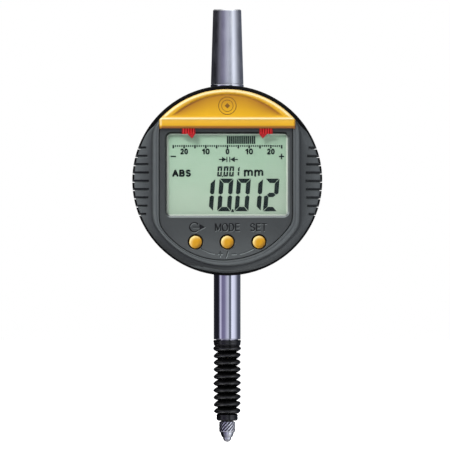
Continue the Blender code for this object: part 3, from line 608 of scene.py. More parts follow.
def capsule(points, width, n=5):
    """Outline of a straight line with round ends."""
    start, end = points
    angle = math.atan2(end[1] - start[1], end[0] - start[0])
    return [(x + width / 2 * math.cos(angle + turn + PI * i / n),
             z + width / 2 * math.sin(angle + turn + PI * i / n))
            for (x, z), turn in ((end, -PI / 2), (start, PI / 2)) for i in range(n + 1)]


def line_sides(points, width, closed):
    p = np.array(points, float)
    along = np.roll(p, -1, 0) - np.roll(p, 1, 0) if closed else np.gradient(p, axis=0)
    along /= np.linalg.norm(along, axis=1)[:, None]
    across = np.stack([-along[:, 1], along[:, 0]], 1) * width / 2
    return p + across, p - across


def trace(points, pen, closed=False):
    """Solid line: a capsule through two points, or a strip of quads through more."""
    if len(points) == 2:
        return slanted(capsule(points, pen.width), capsule(points, pen.back_width), pen)
    front = line_sides(drifted(points, pen.drift, -0.45), pen.width, closed)
    back = line_sides(drifted(points, pen.drift, 0.55), pen.back_width, closed)
    verts = []
    for near, far in zip(front, back):
        verts += at_depth(near, pen.front) + at_depth(far, pen.back)
    m = len(points)
    faces = [] if closed else [(0, m, 3 * m, 2 * m), (m - 1, 3 * m - 1, 4 * m - 1, 2 * m - 1)]
    for i in range(m if closed else m - 1):
        j = (i + 1) % m
        faces += [(i, j, 2 * m + j, 2 * m + i), (m + i, 3 * m + i, 3 * m + j, m + j),
                  (i, m + i, m + j, j), (2 * m + i, 2 * m + j, 3 * m + j, 3 * m + i)]
    return verts, faces


def curve(points, n=4):
    """Smooth line through the points."""
    p = [np.array(q, float) for q in points]
    p = [2 * p[0] - p[1]] + p + [2 * p[-1] - p[-2]]
    out = []
    for a, b, c, d in zip(p, p[1:], p[2:], p[3:]):
        for t in np.linspace(0, 1, n, endpoint=False):
            out.append(0.5 * (2 * b + (c - a) * t + (2 * a - 5 * b + 4 * c - d) * t ** 2
                              + (3 * b - a - 3 * c + d) * t ** 3))
    out.append(p[-2])
    return [tuple(q) for q in out]


def oval(n, power):
    """Closed oval that fills the unit box."""
    out = []
    for i in range(n + 1):
        c, s = math.cos(2 * PI * i / n), math.sin(2 * PI * i / n)
        out.append((0.5 + 0.5 * math.copysign(abs(c) ** power, c),
                    0.5 + 0.5 * math.copysign(abs(s) ** power, s)))
    return out


def bowl(width, bottom, top, n=10):
    """The bow of a letter: starts and ends at its left side."""
    radius = min(width, (top - bottom) / 2 * 1.1)
    straight = width - radius
    out = [(0, top), (straight, top)]
    for i in range(1, n):
        a = PI / 2 - PI * i / n
        out.append((straight + radius * math.cos(a),
                    (bottom + top) / 2 + (top - bottom) / 2 * math.sin(a)))
    return out + [(straight, bottom), (0, bottom)]


ARCH = [(0, 0.68), (0.12, 0.93), (0.28, 1.0), (0.44, 0.92), (0.5, 0.7), (0.5, 0.35), (0.5, 0)]
# plain lettering: relative width, then lines in a unit box
GLYPHS = {
    "A": (0.78, [[(0, 0), (0.5, 1)], [(0.5, 1), (1, 0)], [(0.19, 0.34), (0.81, 0.34)]]),
    "B": (0.66, [[(0, 0), (0, 1)], bowl(0.92, 0.52, 1), bowl(1, 0, 0.52)]),
    "S": (0.66, [curve([(0.95, 0.80), (0.78, 0.96), (0.5, 1), (0.2, 0.95), (0.05, 0.76),
                        (0.2, 0.58), (0.5, 0.51), (0.82, 0.43), (0.97, 0.25), (0.80, 0.05),
                        (0.5, 0), (0.18, 0.05), (0.02, 0.22)])]),
    "M": (0.86, [[(0, 0), (0, 1)], [(0, 1), (0.5, 0.12)], [(0.5, 0.12), (1, 1)], [(1, 1), (1, 0)]]),
    "O": (0.86, [oval(32, 0.9)]),
    "D": (0.74, [[(0, 0), (0, 1)], bowl(1, 0, 1, 14)]),
    "E": (0.60, [[(0, 0), (0, 1)], [(0, 1), (1, 1)], [(0, 0.52), (0.9, 0.52)], [(0, 0), (1, 0)]]),
    "T": (0.70, [[(0.5, 0), (0.5, 1)], [(0, 1), (1, 1)]]),
    "m": (1.05, [[(0, 0), (0, 1)], curve(ARCH), curve([(x + 0.5, z) for x, z in ARCH])]),
    "0": (0.58, [oval(28, 0.85)]),
    "1": (0.34, [[(0.9, 0), (0.9, 1)], [(0.9, 1), (0.0, 0.76)]]),
    "2": (0.58, [curve([(0.03, 0.74), (0.15, 0.93), (0.5, 1.0), (0.85, 0.93), (0.97, 0.72),
                        (0.85, 0.52), (0.4, 0.24), (0.0, 0.0)]), [(0, 0), (1, 0)]]),
}


def text(word, x0, x1, z0, z1, pen, gap, allowance):
    """Lettering that fills the box: one solid for each line.

    gap is the relative space between letters, allowance the line width the layout counts on."""
    total = sum(GLYPHS[c][0] for c in word) + gap * (len(word) - 1)
    scale = (x1 - x0 - allowance * len(word)) / total
    out, x = [], x0
    for c in word:
        width, lines = GLYPHS[c]
        for line in lines:
            points = [(x + allowance / 2 + px * width * scale,
                       z0 + allowance / 2 + pz * (z1 - z0 - allowance)) for px, pz in line]
            (ax, az), (bx, bz) = points[0], points[-1]
            closed = abs(ax - bx) + abs(az - bz) < 1e-6
            out.append(trace(points[:-1] if closed else points, pen, closed))
        x += width * scale + gap * scale + allowance
    return out


# =============================================================================
# Objects
# =============================================================================


def make(name, *solids, weld=True):
    """A working object in millimetres out of one or more solids."""
    verts, faces = [], []
    for solid_verts, solid_faces in solids:
        k = len(verts)
        verts += [tuple(map(float, v)) for v in solid_verts]
        faces += [tuple(i + k for i in face) for face in solid_faces]
    mesh = bpy.data.meshes.new(name)
    mesh.from_pydata(verts, [], faces)
    mesh.update()
    bm = bmesh.new()
    bm.from_mesh(mesh)
    if weld:
        bmesh.ops.remove_doubles(bm, verts=bm.verts, dist=1e-5)
    bmesh.ops.recalc_face_normals(bm, faces=bm.faces)
    bm.to_mesh(mesh)
    bm.free()
    piece = bpy.data.objects.new(name, mesh)
    scene.collection.objects.link(piece)
    return piece


def apply_modifiers(piece):
    bpy.context.view_layer.update()
    graph = bpy.context.evaluated_depsgraph_get()
    mesh = bpy.data.meshes.new_from_object(piece.evaluated_get(graph))
    piece.modifiers.clear()
    old = piece.data
    piece.data = mesh
    bpy.data.meshes.remove(old)


def boolean(piece, other, operation, use_self=False):
    """Combines a piece with another working object, which is used up."""
    mod = piece.modifiers.new("boolean", "BOOLEAN")
    mod.operation, mod.solver, mod.object, mod.use_self = operation, "EXACT", other, use_self
    apply_modifiers(piece)
    bpy.data.objects.remove(other, do_unlink=True)


def cut(piece, *solids):
    boolean(piece, make("cutter", *solids), "DIFFERENCE")


def add(piece, *solids):
    boolean(piece, make("addition", *solids), "UNION")


def fused(name, solids):
    """One clean mesh out of overlapping solids."""
    piece = make(name, solids[0])
    boolean(piece, make("rest", *solids[1:]), "UNION", use_self=True)
    return piece


def bevel(piece, width, segments, angle):
    mod = piece.modifiers.new("bevel", "BEVEL")
    mod.width, mod.segments = width, segments
    mod.limit_method, mod.angle_limit = "ANGLE", math.radians(angle)
    mod.use_clamp_overlap = True
    mod.miter_outer = "MITER_ARC"
    apply_modifiers(piece)


def to_frame(mesh):
    mesh.transform(Matrix.Translation((0, 0, CENTRE_Z * MM)) @ Matrix.Scale(MM, 4))


def finish(piece, body, node, slot, materials=None, smooth=33, weighted=False, tone=None):
    """Moves a piece into the frame, gives it its materials and lets it ride on a body.

    Without materials it takes the one named like its slot; tone(x, y, z) shades it."""
    mesh = piece.data
    if tone:
        places = np.empty(len(mesh.vertices) * 3, np.float32)
        mesh.vertices.foreach_get("co", places)
        places = places.reshape(-1, 3)
        values = tone(places[:, 0], places[:, 1], places[:, 2])
        mesh.attributes.new("tone", "FLOAT", "POINT").data.foreach_set(
            "value", np.ascontiguousarray(values, np.float32))
    to_frame(mesh)
    names = materials or (slot,)
    indices = [p.material_index for p in mesh.polygons]
    mesh.materials.clear()
    for name in names:
        mesh.materials.append(MATERIALS[name])
    if len(names) > 1:
        mesh.polygons.foreach_set("material_index", indices)
    mesh.shade_smooth()
    mesh.set_sharp_from_angle(angle=math.radians(smooth))
    if weighted:
        mod = piece.modifiers.new("w", "WEIGHTED_NORMAL")
        mod.keep_sharp = True
        mod.weight = 80
    mesh.update()
    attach(piece, body)
    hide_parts(node)


# =============================================================================
# Display housing: a raised ridge round the panel, an outer slope with finger grooves, a black rim
# =============================================================================
SEGMENTS = 288
ANGLES = np.arange(SEGMENTS) * 2 * PI / SEGMENTS
COS, SIN = np.cos(ANGLES), np.sin(ANGLES)
CLEAR = -14.0                   # depth in front of everything, where cutters start
PANEL_FRONT = -11.8
RIDGE_TOP = -12.34
SLOPE_IN, SLOPE_OUT = -11.42, -9.75
SLOPE_RADIUS = 27.72


def ridge_foot(left, right, arcs, top, sharpness):
    """Radius of an outline with straight sides and a round lower part.

    arcs gives the lower radius at angles below the horizontal, from right to left."""
    turns, radii = zip(*arcs)
    turn = np.degrees(np.arctan2(-SIN, COS))
    arc = sum(np.interp((turn + d) % 360, turns, radii) for d in (-9, -6, -3, 0, 3, 6, 9)) / 7
    arc = np.where(SIN < 0, arc, arc + (top - arc) * smoothstep(0.0, 0.5, SIN))
    side = np.where(COS > 0, right, left) / np.maximum(np.abs(COS), 1e-6)
    return (side ** -sharpness + arc ** -sharpness) ** (-1 / sharpness)


FOOT_OUT = ridge_foot(22.45, 21.80, [
    (0, 25.55), (50, 25.55), (75, 25.55), (90, 25.62), (105, 25.52), (120, 25.42), (180, 25.42),
    (270, 25.5), (360, 25.55)], top=26.9, sharpness=55.0)
FOOT_IN = ridge_foot(20.22, 19.42, [
    (0, 22.95), (48, 22.95), (59, 23.42), (70, 23.42), (78, 23.40), (90, 23.65), (105, 24.0),
    (120, 24.12), (180, 24.12), (270, 23.5), (360, 22.95)], top=26.3, sharpness=50.0)
RIDGE = 1.0 - smoothstep(0.60, 0.72, SIN)           # the ridge fades out under the marker cover
FLAT = smoothstep(0.50, 0.62, SIN)                  # so does the outer slope
RIM_IN = 27.50 + 0.20 * smoothstep(0.15, 0.50, np.abs(COS)) - 0.60 * FLAT
# (place across the ridge, share of its height)
RIDGE_PROFILE = [
    (0.05, 0.50), (0.10, 0.74), (0.17, 0.86), (0.25, 0.87), (0.31, 0.78), (0.37, 0.76),
    (0.43, 0.88), (0.50, 0.98), (0.60, 1.0), (0.70, 0.93), (0.79, 0.74), (0.87, 0.46),
    (0.93, 0.22), (0.97, 0.08), (1.02, 0.0)]
SLOPE_STATIONS = (0.04, 0.12, 0.22, 0.34, 0.46, 0.58, 0.70, 0.80, 0.89, 0.96)


def slope_depth(share):
    """Depth of the outer slope, from the ridge's foot (0) to the black rim (1)."""
    return SLOPE_OUT + (SLOPE_IN - SLOPE_OUT) * np.cos(np.asarray(share) * PI / 2) ** 0.85


def round_value(values, x, z):
    """A value given round the circle, looked up at points."""
    place = (np.arctan2(z, x) / (2 * PI) * SEGMENTS) % SEGMENTS
    k = place.astype(int) % SEGMENTS
    t = place - np.floor(place)
    return values[k] * (1 - t) + values[(k + 1) % SEGMENTS] * t


def surface_y(x, z):
    """Depth of the housing's outer slope at a point."""
    x, z = np.asarray(x, float), np.asarray(z, float)
    foot = round_value(FOOT_OUT, x, z)
    return slope_depth(np.clip((np.hypot(x, z) - foot) / (SLOPE_RADIUS - foot), 0.0, 1.0))


def housing_shell():
    """Rows of points round the head, from the ridge outwards, back and in again."""
    rows = []                                       # (radii, depths, whether it is black)

    def row(radius, y, black=False):
        rows.append((np.broadcast_to(radius, SEGMENTS), np.broadcast_to(y, SEGMENTS), black))

    row(FOOT_IN - 0.55, -11.3)
    row(FOOT_IN - 0.15, -11.32)
    row(FOOT_IN + 0.02, -11.40)
    for t, height in RIDGE_PROFILE:
        base = PANEL_FRONT * (1 - t) + SLOPE_IN * t
        row(FOOT_IN + (FOOT_OUT - FOOT_IN) * t,
            base + (RIDGE_TOP - base) * height * (0.12 + 0.88 * RIDGE))
    for s in SLOPE_STATIONS:
        row(FOOT_OUT + (RIM_IN - FOOT_OUT) * s,
            slope_depth(s) * (1 - FLAT) + (-11.5 + 0.4 * s) * FLAT)
    rim_y = SLOPE_OUT * (1 - FLAT) + -11.05 * FLAT
    full = HEAD_RADIUS - 0.03
    row(RIM_IN, rim_y)
    # rows marked black: the rim and outer wall, near-black as painted shade
    row(RIM_IN + 0.03, rim_y + 0.05, True)
    row(RIM_IN * 0.62 + full * 0.38, rim_y + 0.16, True)
    start = RIM_IN * 0.45 + full * 0.55
    for k in range(1, 7):
        a = PI / 2 * k / 6
        row(start + (full - start) * math.sin(a), rim_y + 0.22 + 0.55 * (1 - math.cos(a)), True)
    for radius, y in ((full, -8.6), (full, HEAD_BACK - 0.30), (full - 0.09, HEAD_BACK - 0.09),
                      (full - 0.30, HEAD_BACK), (26.4, HEAD_BACK), (26.32, HEAD_BACK - 0.08),
                      (26.32, -7.7), (24.95, -7.7)):
        row(radius, y, True)
    row(24.95, -10.25)
    row(np.minimum(FOOT_IN - 0.55, 24.8), -10.35)
    verts, faces, black = [], [], []
    for radius, y, _ in rows:
        verts += list(zip(radius * COS, y, radius * SIN))
    for i in range(len(rows)):
        j = (i + 1) % len(rows)
        for a in range(SEGMENTS):
            b = (a + 1) % SEGMENTS
            faces.append((i * SEGMENTS + a, i * SEGMENTS + b, j * SEGMENTS + b, j * SEGMENTS + a))
        black += [int(rows[j][2])] * SEGMENTS
    shell = make("display_housing_shell", (verts, faces), weld=False)
    for name in ("housing_grey", "rim_black"):
        shell.data.materials.append(MATERIALS[name])
    shell.data.polygons.foreach_set("material_index", black)
    return shell


def finger_groove(z0, side):
    """A steep upper wall, a floor and a sloped lower wall that rises to the surface."""
    inner = 23.2 + 0.055 * (z0 / GRIP_PITCH) ** 2
    edge = math.sqrt(27.7 ** 2 - z0 ** 2)
    stations = [inner, inner + 0.2, inner + 0.7, *np.linspace(inner + 1.3, edge, 5), edge + 0.6]
    loops = []
    for k, x in enumerate(stations):
        y = surface_y(min(x, edge), z0) + (0.0 if x <= edge else 0.35)
        floor = y + {0: 0.2, 1: 0.5}.get(k, 0.70)
        loops.append([(side * x, y_cut, z0 + dz) for dz, y_cut in (
            (0.28, CLEAR), (0.25, floor), (-0.14, floor), (-0.68, y - 0.03), (-0.70, CLEAR))])
    verts, sides, caps = skin(loops)
    return verts, sides + caps


def notch(z0, side, y0, y1):
    """Notch in the outline where a groove's lower wall runs out."""
    edge = math.sqrt(27.62 ** 2 - z0 ** 2)
    return prism(mirrored([(edge, z0 - 0.40), (edge - 0.04, z0 - 0.62), (30.0, z0 - 0.68),
                           (30.0, z0 - 0.36)], side), y0, y1)


# painted light and shade: tone across the ridge, over the outer slope, and over its lowest part
RIDGE_TONE = ([-0.1, 0.02, 0.14, 0.26, 0.34, 0.46, 0.62, 0.80, 0.90, 1.0],
              [0.50, 0.52, 1.10, 1.08, 0.72, 1.14, 1.24, 1.06, 0.68, 0.42])
SLOPE_TONE = ([0.0, 0.06, 0.16, 0.45, 0.85, 0.97, 1.0], [0.42, 0.50, 0.66, 0.84, 1.16, 1.20, 0.8])
LOW_TONE = ([0.0, 0.08, 0.25, 0.9, 1.0], [0.38, 0.55, 0.72, 0.70, 0.5])


def housing_tone(x, y, z):
    r = np.hypot(x, z)
    foot_in, foot_out = round_value(FOOT_IN, x, z), round_value(FOOT_OUT, x, z)
    across = (r - foot_in) / (foot_out - foot_in)
    outward = (r - foot_out) / (SLOPE_RADIUS - foot_out)
    low = smoothstep(0.35, 0.8, -z / np.maximum(r, 1e-3))
    slope = np.interp(outward, *SLOPE_TONE) * (1 - low) + low * np.interp(outward, *LOW_TONE)
    # painted shade: darker to the right; below, lighter to the right than to the left
    slope = slope * (0.87 - 0.09 * smoothstep(0, 20, x)) * (
        1 + low * (0.42 * smoothstep(-4, 14, x) - 0.42 * smoothstep(8, -8, x)))
    tone = np.where(across < 0.97, np.interp(across, *RIDGE_TONE), slope)
    depth = y - surface_y(x, z)                     # painted shade: the grooves are dark at their floor
    sunk = (outward > 0.05) & (outward < 1.0) & (depth > 0.08)
    return np.where(sunk, 0.14 + 1.1 * np.clip(1 - depth / 0.50, 0, 1), tone)


shell = housing_shell()
cut(shell, *(finger_groove(z, side) for z, side in GRIPS))
cut(shell, *(notch(z, side, CLEAR, -5.0) for z, side in GRIPS))
finish(shell, "display_head", "display_housing", "housing_grey", ("housing_grey", "rim_black"),
       smooth=38, tone=housing_tone)

# =============================================================================
# Inner panel with window, key holes and engraved labels
# =============================================================================
FLARE_FRONT = PANEL_FRONT - 0.03
KEY_HOLE = 2.1
LABEL_Z = (-15.30, -12.70)
SIGN_Z = -21.95
ARROW_Z = -13.98
# the floor of a cut lies towards its upper left, so the walls below and right of it slope gently
ENGRAVER = Pen(front=-12.0, back=-11.56, width=0.78, back_width=0.16, drift=(-0.10, 0.20))
SIGN_ENGRAVER = ENGRAVER._replace(width=0.72, back_width=0.12)
FINE_ENGRAVER = ENGRAVER._replace(width=0.56, back_width=0.08)


def flared(outline, back, grow):
    """Cutter that widens towards the reader up to the panel's front, and stays wide beyond."""
    wide = inset(outline, -grow)
    verts, sides, caps = skin([at_depth(outline, back), at_depth(wide, FLARE_FRONT),
                               at_depth(wide, CLEAR)])
    return verts, caps + sides


def engraving():
    style = dict(z0=LABEL_Z[0], z1=LABEL_Z[1], pen=ENGRAVER, allowance=0.48)
    solids = text("MODE", -3.70, 3.78, gap=0.05, **style)
    solids += text("SET", 6.75, 11.85, gap=0.06, **style)
    # an open ring with an arrow leaving it
    ring = [(-9.75 + 1.38 * math.cos(a), ARROW_Z + 1.38 * math.sin(a))
            for a in np.linspace(0.66, 2 * PI - 0.66, 40)]
    head = [(-8.25, ARROW_Z - 0.97), (-6.45, ARROW_Z), (-8.25, ARROW_Z + 0.97)]
    solids += [trace(ring, ENGRAVER), trace([(-10.1, ARROW_Z), (-7.9, ARROW_Z)], ENGRAVER),
               slanted(inset(head, -0.18), inset(head, 0.12), ENGRAVER)]
    # plus and minus, with a slanted stroke between them
    solids += [trace(line, SIGN_ENGRAVER) for line in (
        [(-2.75, SIGN_Z), (-1.40, SIGN_Z)], [(-2.08, SIGN_Z - 0.68), (-2.08, SIGN_Z + 0.68)],
        [(1.35, SIGN_Z), (2.60, SIGN_Z)], [(-0.30, SIGN_Z - 0.95), (0.30, SIGN_Z + 0.95)])]
    # thin lines that join them to the outer keys
    bend = [(3.7 + 4.2 * t, -21.85 + 1.55 * t ** 1.5) for t in np.linspace(0, 1, 16)]
    solids += [trace(mirrored(bend, side), FINE_ENGRAVER) for side in (-1, 1)]
    return fused("engraving", solids)


def panel_tone(x, y, z):
    """Painted light and shade: the bevelled window edge lit below and right, shaded above and left;
    painted shade darkens the cuts and holes.
    """
    dx = np.abs(x) - (WINDOW_WIDTH / 2 - 0.05)
    dz = np.abs(z - WINDOW_Z) - (WINDOW_HEIGHT / 2 - 0.05)
    beyond = np.maximum(dx, dz)
    edge = (beyond > -0.1) & (beyond < 0.68) & (y > PANEL_FRONT + 0.01)
    lit = np.where(dz > dx, np.where(z < WINDOW_Z, 1.5, 0.3), np.where(x > 0, 1.8, 0.10))
    hole = np.min([np.hypot(x - c, z - KEY_Z) for c in KEY_PLACES], axis=0)
    tone = np.where((hole < 2.6) & (y > PANEL_FRONT + 0.01), 0.15, 1.0)
    sunk = (y > -11.75) & (z < -11.5) & (hole > 2.6) & (y < -11.5)
    tone = np.where(sunk, np.where(z < -19.6, 0.55, 0.06), tone)
    return np.where(edge, lit, tone)


panel = make("display_panel", plate(list(zip((FOOT_IN - 0.10) * COS, (FOOT_IN - 0.10) * SIN)),
                                    PANEL_FRONT, -10.45, edge=0.16, n=3))
cut(panel, prism(rounded(WINDOW_WIDTH, WINDOW_HEIGHT, WINDOW_CORNER, z=WINDOW_Z), CLEAR, -9))
cut(panel, flared(rounded(WINDOW_WIDTH - 0.02, WINDOW_HEIGHT - 0.02, WINDOW_CORNER, z=WINDOW_Z),
                  back=-11.15, grow=0.62))
for x in KEY_PLACES:
    cut(panel, prism(circle(KEY_HOLE, x, KEY_Z, 72), CLEAR, -9))
    cut(panel, flared(circle(KEY_HOLE, x, KEY_Z, 72, 0.01), back=-11.4, grow=0.30))
boolean(panel, engraving(), "DIFFERENCE")
finish(panel, "display_head", "display_housing", "housing_grey", ("panel_grey",), smooth=30,
       tone=panel_tone)

# =============================================================================
# Window, display cell and its figures
# =============================================================================
finish(make("window_lens_clear",
            plate(rounded(WINDOW_WIDTH - 0.12, WINDOW_HEIGHT - 0.12, 1.3, z=WINDOW_Z),
                  -11.06, -10.55, edge=0.12, n=3, back_edge=0.1)),
       "display_head", "window_lens", "window_clear")

lcd_low, lcd_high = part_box("lcd_panel")
LCD_FRONT = lcd_low.y / MM
finish(make("lcd_cell", plate(
    rounded((lcd_high.x - lcd_low.x) / MM, (lcd_high.z - lcd_low.z) / MM, 0.4,
            z=middle("lcd_panel")[1]), LCD_FRONT, lcd_high.y / MM, edge=0.06, n=2)),
       "display_head", "lcd_panel", "lcd_green")

INK_Y = (LCD_FRONT - 0.075, LCD_FRONT - 0.015)      # the figures lie just in front of the cell
INK_PEN = Pen(*INK_Y, width=0.57, back_width=0.57)
SCALE_PEN = Pen(*INK_Y, width=0.42, back_width=0.42)
LEAN = math.tan(math.radians(4.4))
DIGIT_BARS = {"0": "abcdef", "1": "bc", "2": "abged"}
READING = [("1", -9.4, -4.3), ("0", -3.03, 1.08), ("0", 2.15, 6.25), ("1", 4.8, 9.89),
           ("2", 10.62, 14.77)]                     # digit, left, right
RESOLUTION = [("0", -3.05, -1.70), ("0", -1.2, 0.15), ("0", 0.50, 1.85), ("1", 2.2, 3.50)]
READING_Z = (-9.12, 0.55)
RESOLUTION_Z = (1.19, 4.2)
UNIT_Z = (RESOLUTION_Z[0], 3.17)
SCALE_ZERO, SCALE_PITCH = 0.05, 3.223               # analogue scale: place of 0, long mark spacing
ZERO_MARK_X, ZERO_MARK_Z = 0.31, 6.26


def seven_segment(digit, x0, x1, z0, z1, bar, gap):
    """Leaning seven-segment figure with mitred bars."""
    zm, half = (z0 + z1) / 2, bar / 2
    left, right = x0 + bar, x1 - bar
    shapes = {
        "a": [(x0 + gap, z1), (x1 - gap, z1), (right - gap * .2, z1 - bar),
              (left + gap * .2, z1 - bar)],
        "b": [(x1, z1 - gap), (x1, zm + gap + half * .5), (x1 - half, zm + gap * .7),
              (right, zm + half * .9), (right, z1 - bar - gap)],
        "c": [(x1, z0 + gap), (right, z0 + bar + gap), (right, zm - half * .9),
              (x1 - half, zm - gap * .7), (x1, zm - gap - half * .5)],
        "d": [(x0 + gap, z0), (left + gap * .2, z0 + bar), (right - gap * .2, z0 + bar),
              (x1 - gap, z0)],
        "e": [(x0, z0 + gap), (x0, zm - gap - half * .5), (x0 + half, zm - gap * .7),
              (left, zm - half * .9), (left, z0 + bar + gap)],
        "f": [(x0, z1 - gap), (left, z1 - bar - gap), (left, zm + half * .9),
              (x0 + half, zm + gap * .7), (x0, zm + gap + half * .5)],
        "g": [(x0 + half + gap, zm), (left + gap, zm + half), (right - gap, zm + half),
              (x1 - half - gap, zm), (right - gap, zm - half), (left + gap, zm - half)]}
    return [prism([(x + (z - z0) * LEAN, z) for x, z in shapes[s]], *INK_Y)
            for s in DIGIT_BARS[digit]]


def lcd_figures():
    solids, outlines = [], []
    for digit, x0, x1 in READING:
        solids += seven_segment(digit, x0, x1, *READING_Z, bar=1.27, gap=0.16)
    comma = [(1.05, -9.40, .15), (2.09, -9.40, .15), (1.75, -8.50, .2), (1.42, -8.50, .2)]
    solids.append(prism(fillet(comma, 3), *INK_Y))
    for digit, x0, x1 in RESOLUTION:
        solids += seven_segment(digit, x0, x1, *RESOLUTION_Z, bar=0.49, gap=0.05)
    outlines.append(circle(0.2, -1.42, RESOLUTION_Z[0] + 0.02, 16))
    # zero marks: two bars with arrows that meet them
    low, high = ZERO_MARK_Z - 0.80, ZERO_MARK_Z + 0.80
    for side in (-1, 1):
        for shape in (rect(0.30, 0.56, low, high), [(0.60, ZERO_MARK_Z), (1.90, high), (1.90, low)],
                      rect(1.92, 2.80, ZERO_MARK_Z - 0.15, ZERO_MARK_Z + 0.15)):
            outlines.append(mirrored(shape, side, ZERO_MARK_X))
    # analogue bar and its scale
    for i in range(14):
        x = SCALE_ZERO - 0.18 + 0.613 * i
        outlines.append(rect(x, x + 0.47, 10.9, 13.2))
    for i in range(-25, 26):
        x = SCALE_ZERO + SCALE_PITCH * i / 5
        half, bottom, top = (0.17, 10.02, 10.52) if i % 5 else (0.23, 9.54, 10.54)
        outlines.append(rect(x - half, x + half, bottom, top))
    # minus on the left, plus on the right
    outlines += [rect(-16.85, -15.25, 6.95, 7.36), rect(15.35, 16.9, 6.95, 7.35),
                 rect(15.93, 16.32, 7.36, 7.97), rect(15.93, 16.32, 6.33, 6.94)]
    return solids + [prism(outline, *INK_Y) for outline in outlines]


def lcd_lettering():
    solids = text("mm", 4.98, 10.65, *UNIT_Z, INK_PEN, gap=0.26, allowance=0.44)
    solids += text("ABS", -16.3, -10.85, *UNIT_Z, INK_PEN, gap=0.22, allowance=0.40)
    for label, mark in (("20", -4), ("10", -2), ("0", 0), ("10", 2), ("20", 4)):
        half = (1.05 * len(label) + 0.12 * (len(label) - 1)) / 2
        x = SCALE_ZERO + SCALE_PITCH * mark
        solids += text(label, x - half, x + half, 7.78, 9.46, SCALE_PEN, gap=0.14, allowance=0.36)
    return solids


for piece in (make("lcd_figures", *lcd_figures()), fused("lcd_lettering", lcd_lettering())):
    finish(piece, "display_head", "lcd_panel", "lcd_green", ("lcd_ink",), smooth=30)

# =============================================================================
# Marker cover: dished crescent, raised edge, sloping lower band, round emblem
# =============================================================================
COVER_RADIUS, COVER_HALF_WIDTH, COVER_BASE = 27.1, 20.2, 15.38
COVER_BACK = -11.93
CREST_Z = 18.45                     # ridge between the lower band and the dish
COVER_EDGE = 0.45
COVER_COLUMNS, COVER_ROWS = 300, 110
EMBLEM_Z = 22.2


def bump_at(distance, width):
    return np.exp(-(distance / width) ** 2)


def cover_shape(x, z):
    """Depth of the cover's front, and its tone of painted shade and painted highlights."""
    r = np.hypot(x, z)
    to_edge = np.minimum(np.minimum(COVER_RADIUS - r, COVER_HALF_WIDTH - np.abs(x)), z - COVER_BASE)
    low = np.clip((CREST_Z - z) / (CREST_Z - COVER_BASE), 0, 1)
    y = -13.18 - 0.30 * bump_at(z - CREST_Z + 0.08, 0.36) + 0.34 * low ** 1.5
    # raised rim along the arc
    bound = 25.95 - 0.62 * (np.abs(x) / 16.9) ** 2                  # outer edge of the dish
    rim = bump_at(r - (bound + COVER_RADIUS) / 2 - 0.05, 0.50)
    y = y - 0.20 * rim * smoothstep(CREST_Z - 0.2, CREST_Z + 1.2, z)
    # dish: deepest under its upper edge, rising towards the crest; blend rounds its corner
    above, below = bound - r, z - 18.88
    blend = 0.8
    share = np.clip(0.5 + 0.5 * (below - above) / blend, 0, 1)
    inside = below * (1 - share) + above * share - blend * share * (1 - share)
    dish = smoothstep(-0.20, 0.62, inside)
    rise = np.clip(below / np.maximum(above + below, 1e-3), 0, 1)
    y = y + dish * (0.10 + 0.58 * rise ** 1.3)
    # rounded outer edge
    near = np.clip(1 - to_edge / COVER_EDGE, 0, 1)
    y = y + COVER_EDGE * (1 - np.sqrt(np.clip(1 - near ** 2, 0, 1)))
    # painted shade in the tone: the dish darkens upwards and sideways, its wall and foot are shaded
    sideways = 0.36 * smoothstep(4, 15, np.abs(x)) * (0.25 + 0.75 * rise)
    tone = 1 - dish + dish * np.clip(1.12 - 0.86 * rise ** 0.9 - sideways, 0, 1.2)
    wall = bump_at(inside - 0.25, 0.45) * (0.30 + 0.70 * smoothstep(0.2, 0.7, rise))
    tone = tone - 0.16 * wall * dish
    # painted highlights on the crest, the lip along the arc and the band's left end; painted shade at
    # its right end
    lip = bump_at(r - (COVER_RADIUS - 0.48), 0.34) * smoothstep(CREST_Z, CREST_Z + 1.0, z)
    tone = tone + 1.05 * bump_at(z - CREST_Z + 0.03, 0.26) + 0.95 * lip * (1 - dish)
    band = z < CREST_Z
    tone = tone + 0.04 * smoothstep(COVER_BASE + 1.2, COVER_BASE + 2.2, z) * band
    tone = tone - 1.25 * smoothstep(COVER_BASE + 1.25, COVER_BASE + 0.30, z)
    tone = tone + 0.7 * bump_at(x + COVER_HALF_WIDTH - 0.45, 0.22) * band
    tone = tone - 0.6 * smoothstep(COVER_HALF_WIDTH - 0.7, COVER_HALF_WIDTH - 0.1, x) * band
    return np.clip(y, -13.49, -11.9), np.clip(tone, 0, 2)


def finer_ends(n, amount):
    """Shares from 0 to 1, closer together near both ends."""
    t = np.linspace(0, 1, n)
    return t - amount * np.sin(2 * PI * t)


def cover_solid():
    """Grid over the front, closed by a flat back."""
    columns, rows = COVER_COLUMNS, COVER_ROWS
    x = -COVER_HALF_WIDTH + 2 * COVER_HALF_WIDTH * finer_ends(columns, 0.10)
    top = np.sqrt(COVER_RADIUS ** 2 - x ** 2)
    z = COVER_BASE + (top - COVER_BASE)[:, None] * finer_ends(rows, 0.09)[None, :]
    x = np.repeat(x[:, None], rows, 1)
    verts = [tuple(v) for v in np.stack([x, cover_shape(x, z)[0], z], -1).reshape(-1, 3)]
    faces = [(i * rows + j, (i + 1) * rows + j, (i + 1) * rows + j + 1, i * rows + j + 1)
             for i in range(columns - 1) for j in range(rows - 1)]
    border = [i * rows for i in range(columns)]
    border += [(columns - 1) * rows + j for j in range(1, rows)]
    border += [i * rows + rows - 1 for i in range(columns - 2, -1, -1)]
    border += list(range(rows - 2, 0, -1))
    first, m = len(verts), len(border)
    verts += [(verts[i][0], COVER_BACK, verts[i][2]) for i in border]
    faces += [(border[i], border[(i + 1) % m], first + (i + 1) % m, first + i) for i in range(m)]
    faces.append(tuple(range(first, first + m)))
    return verts, faces


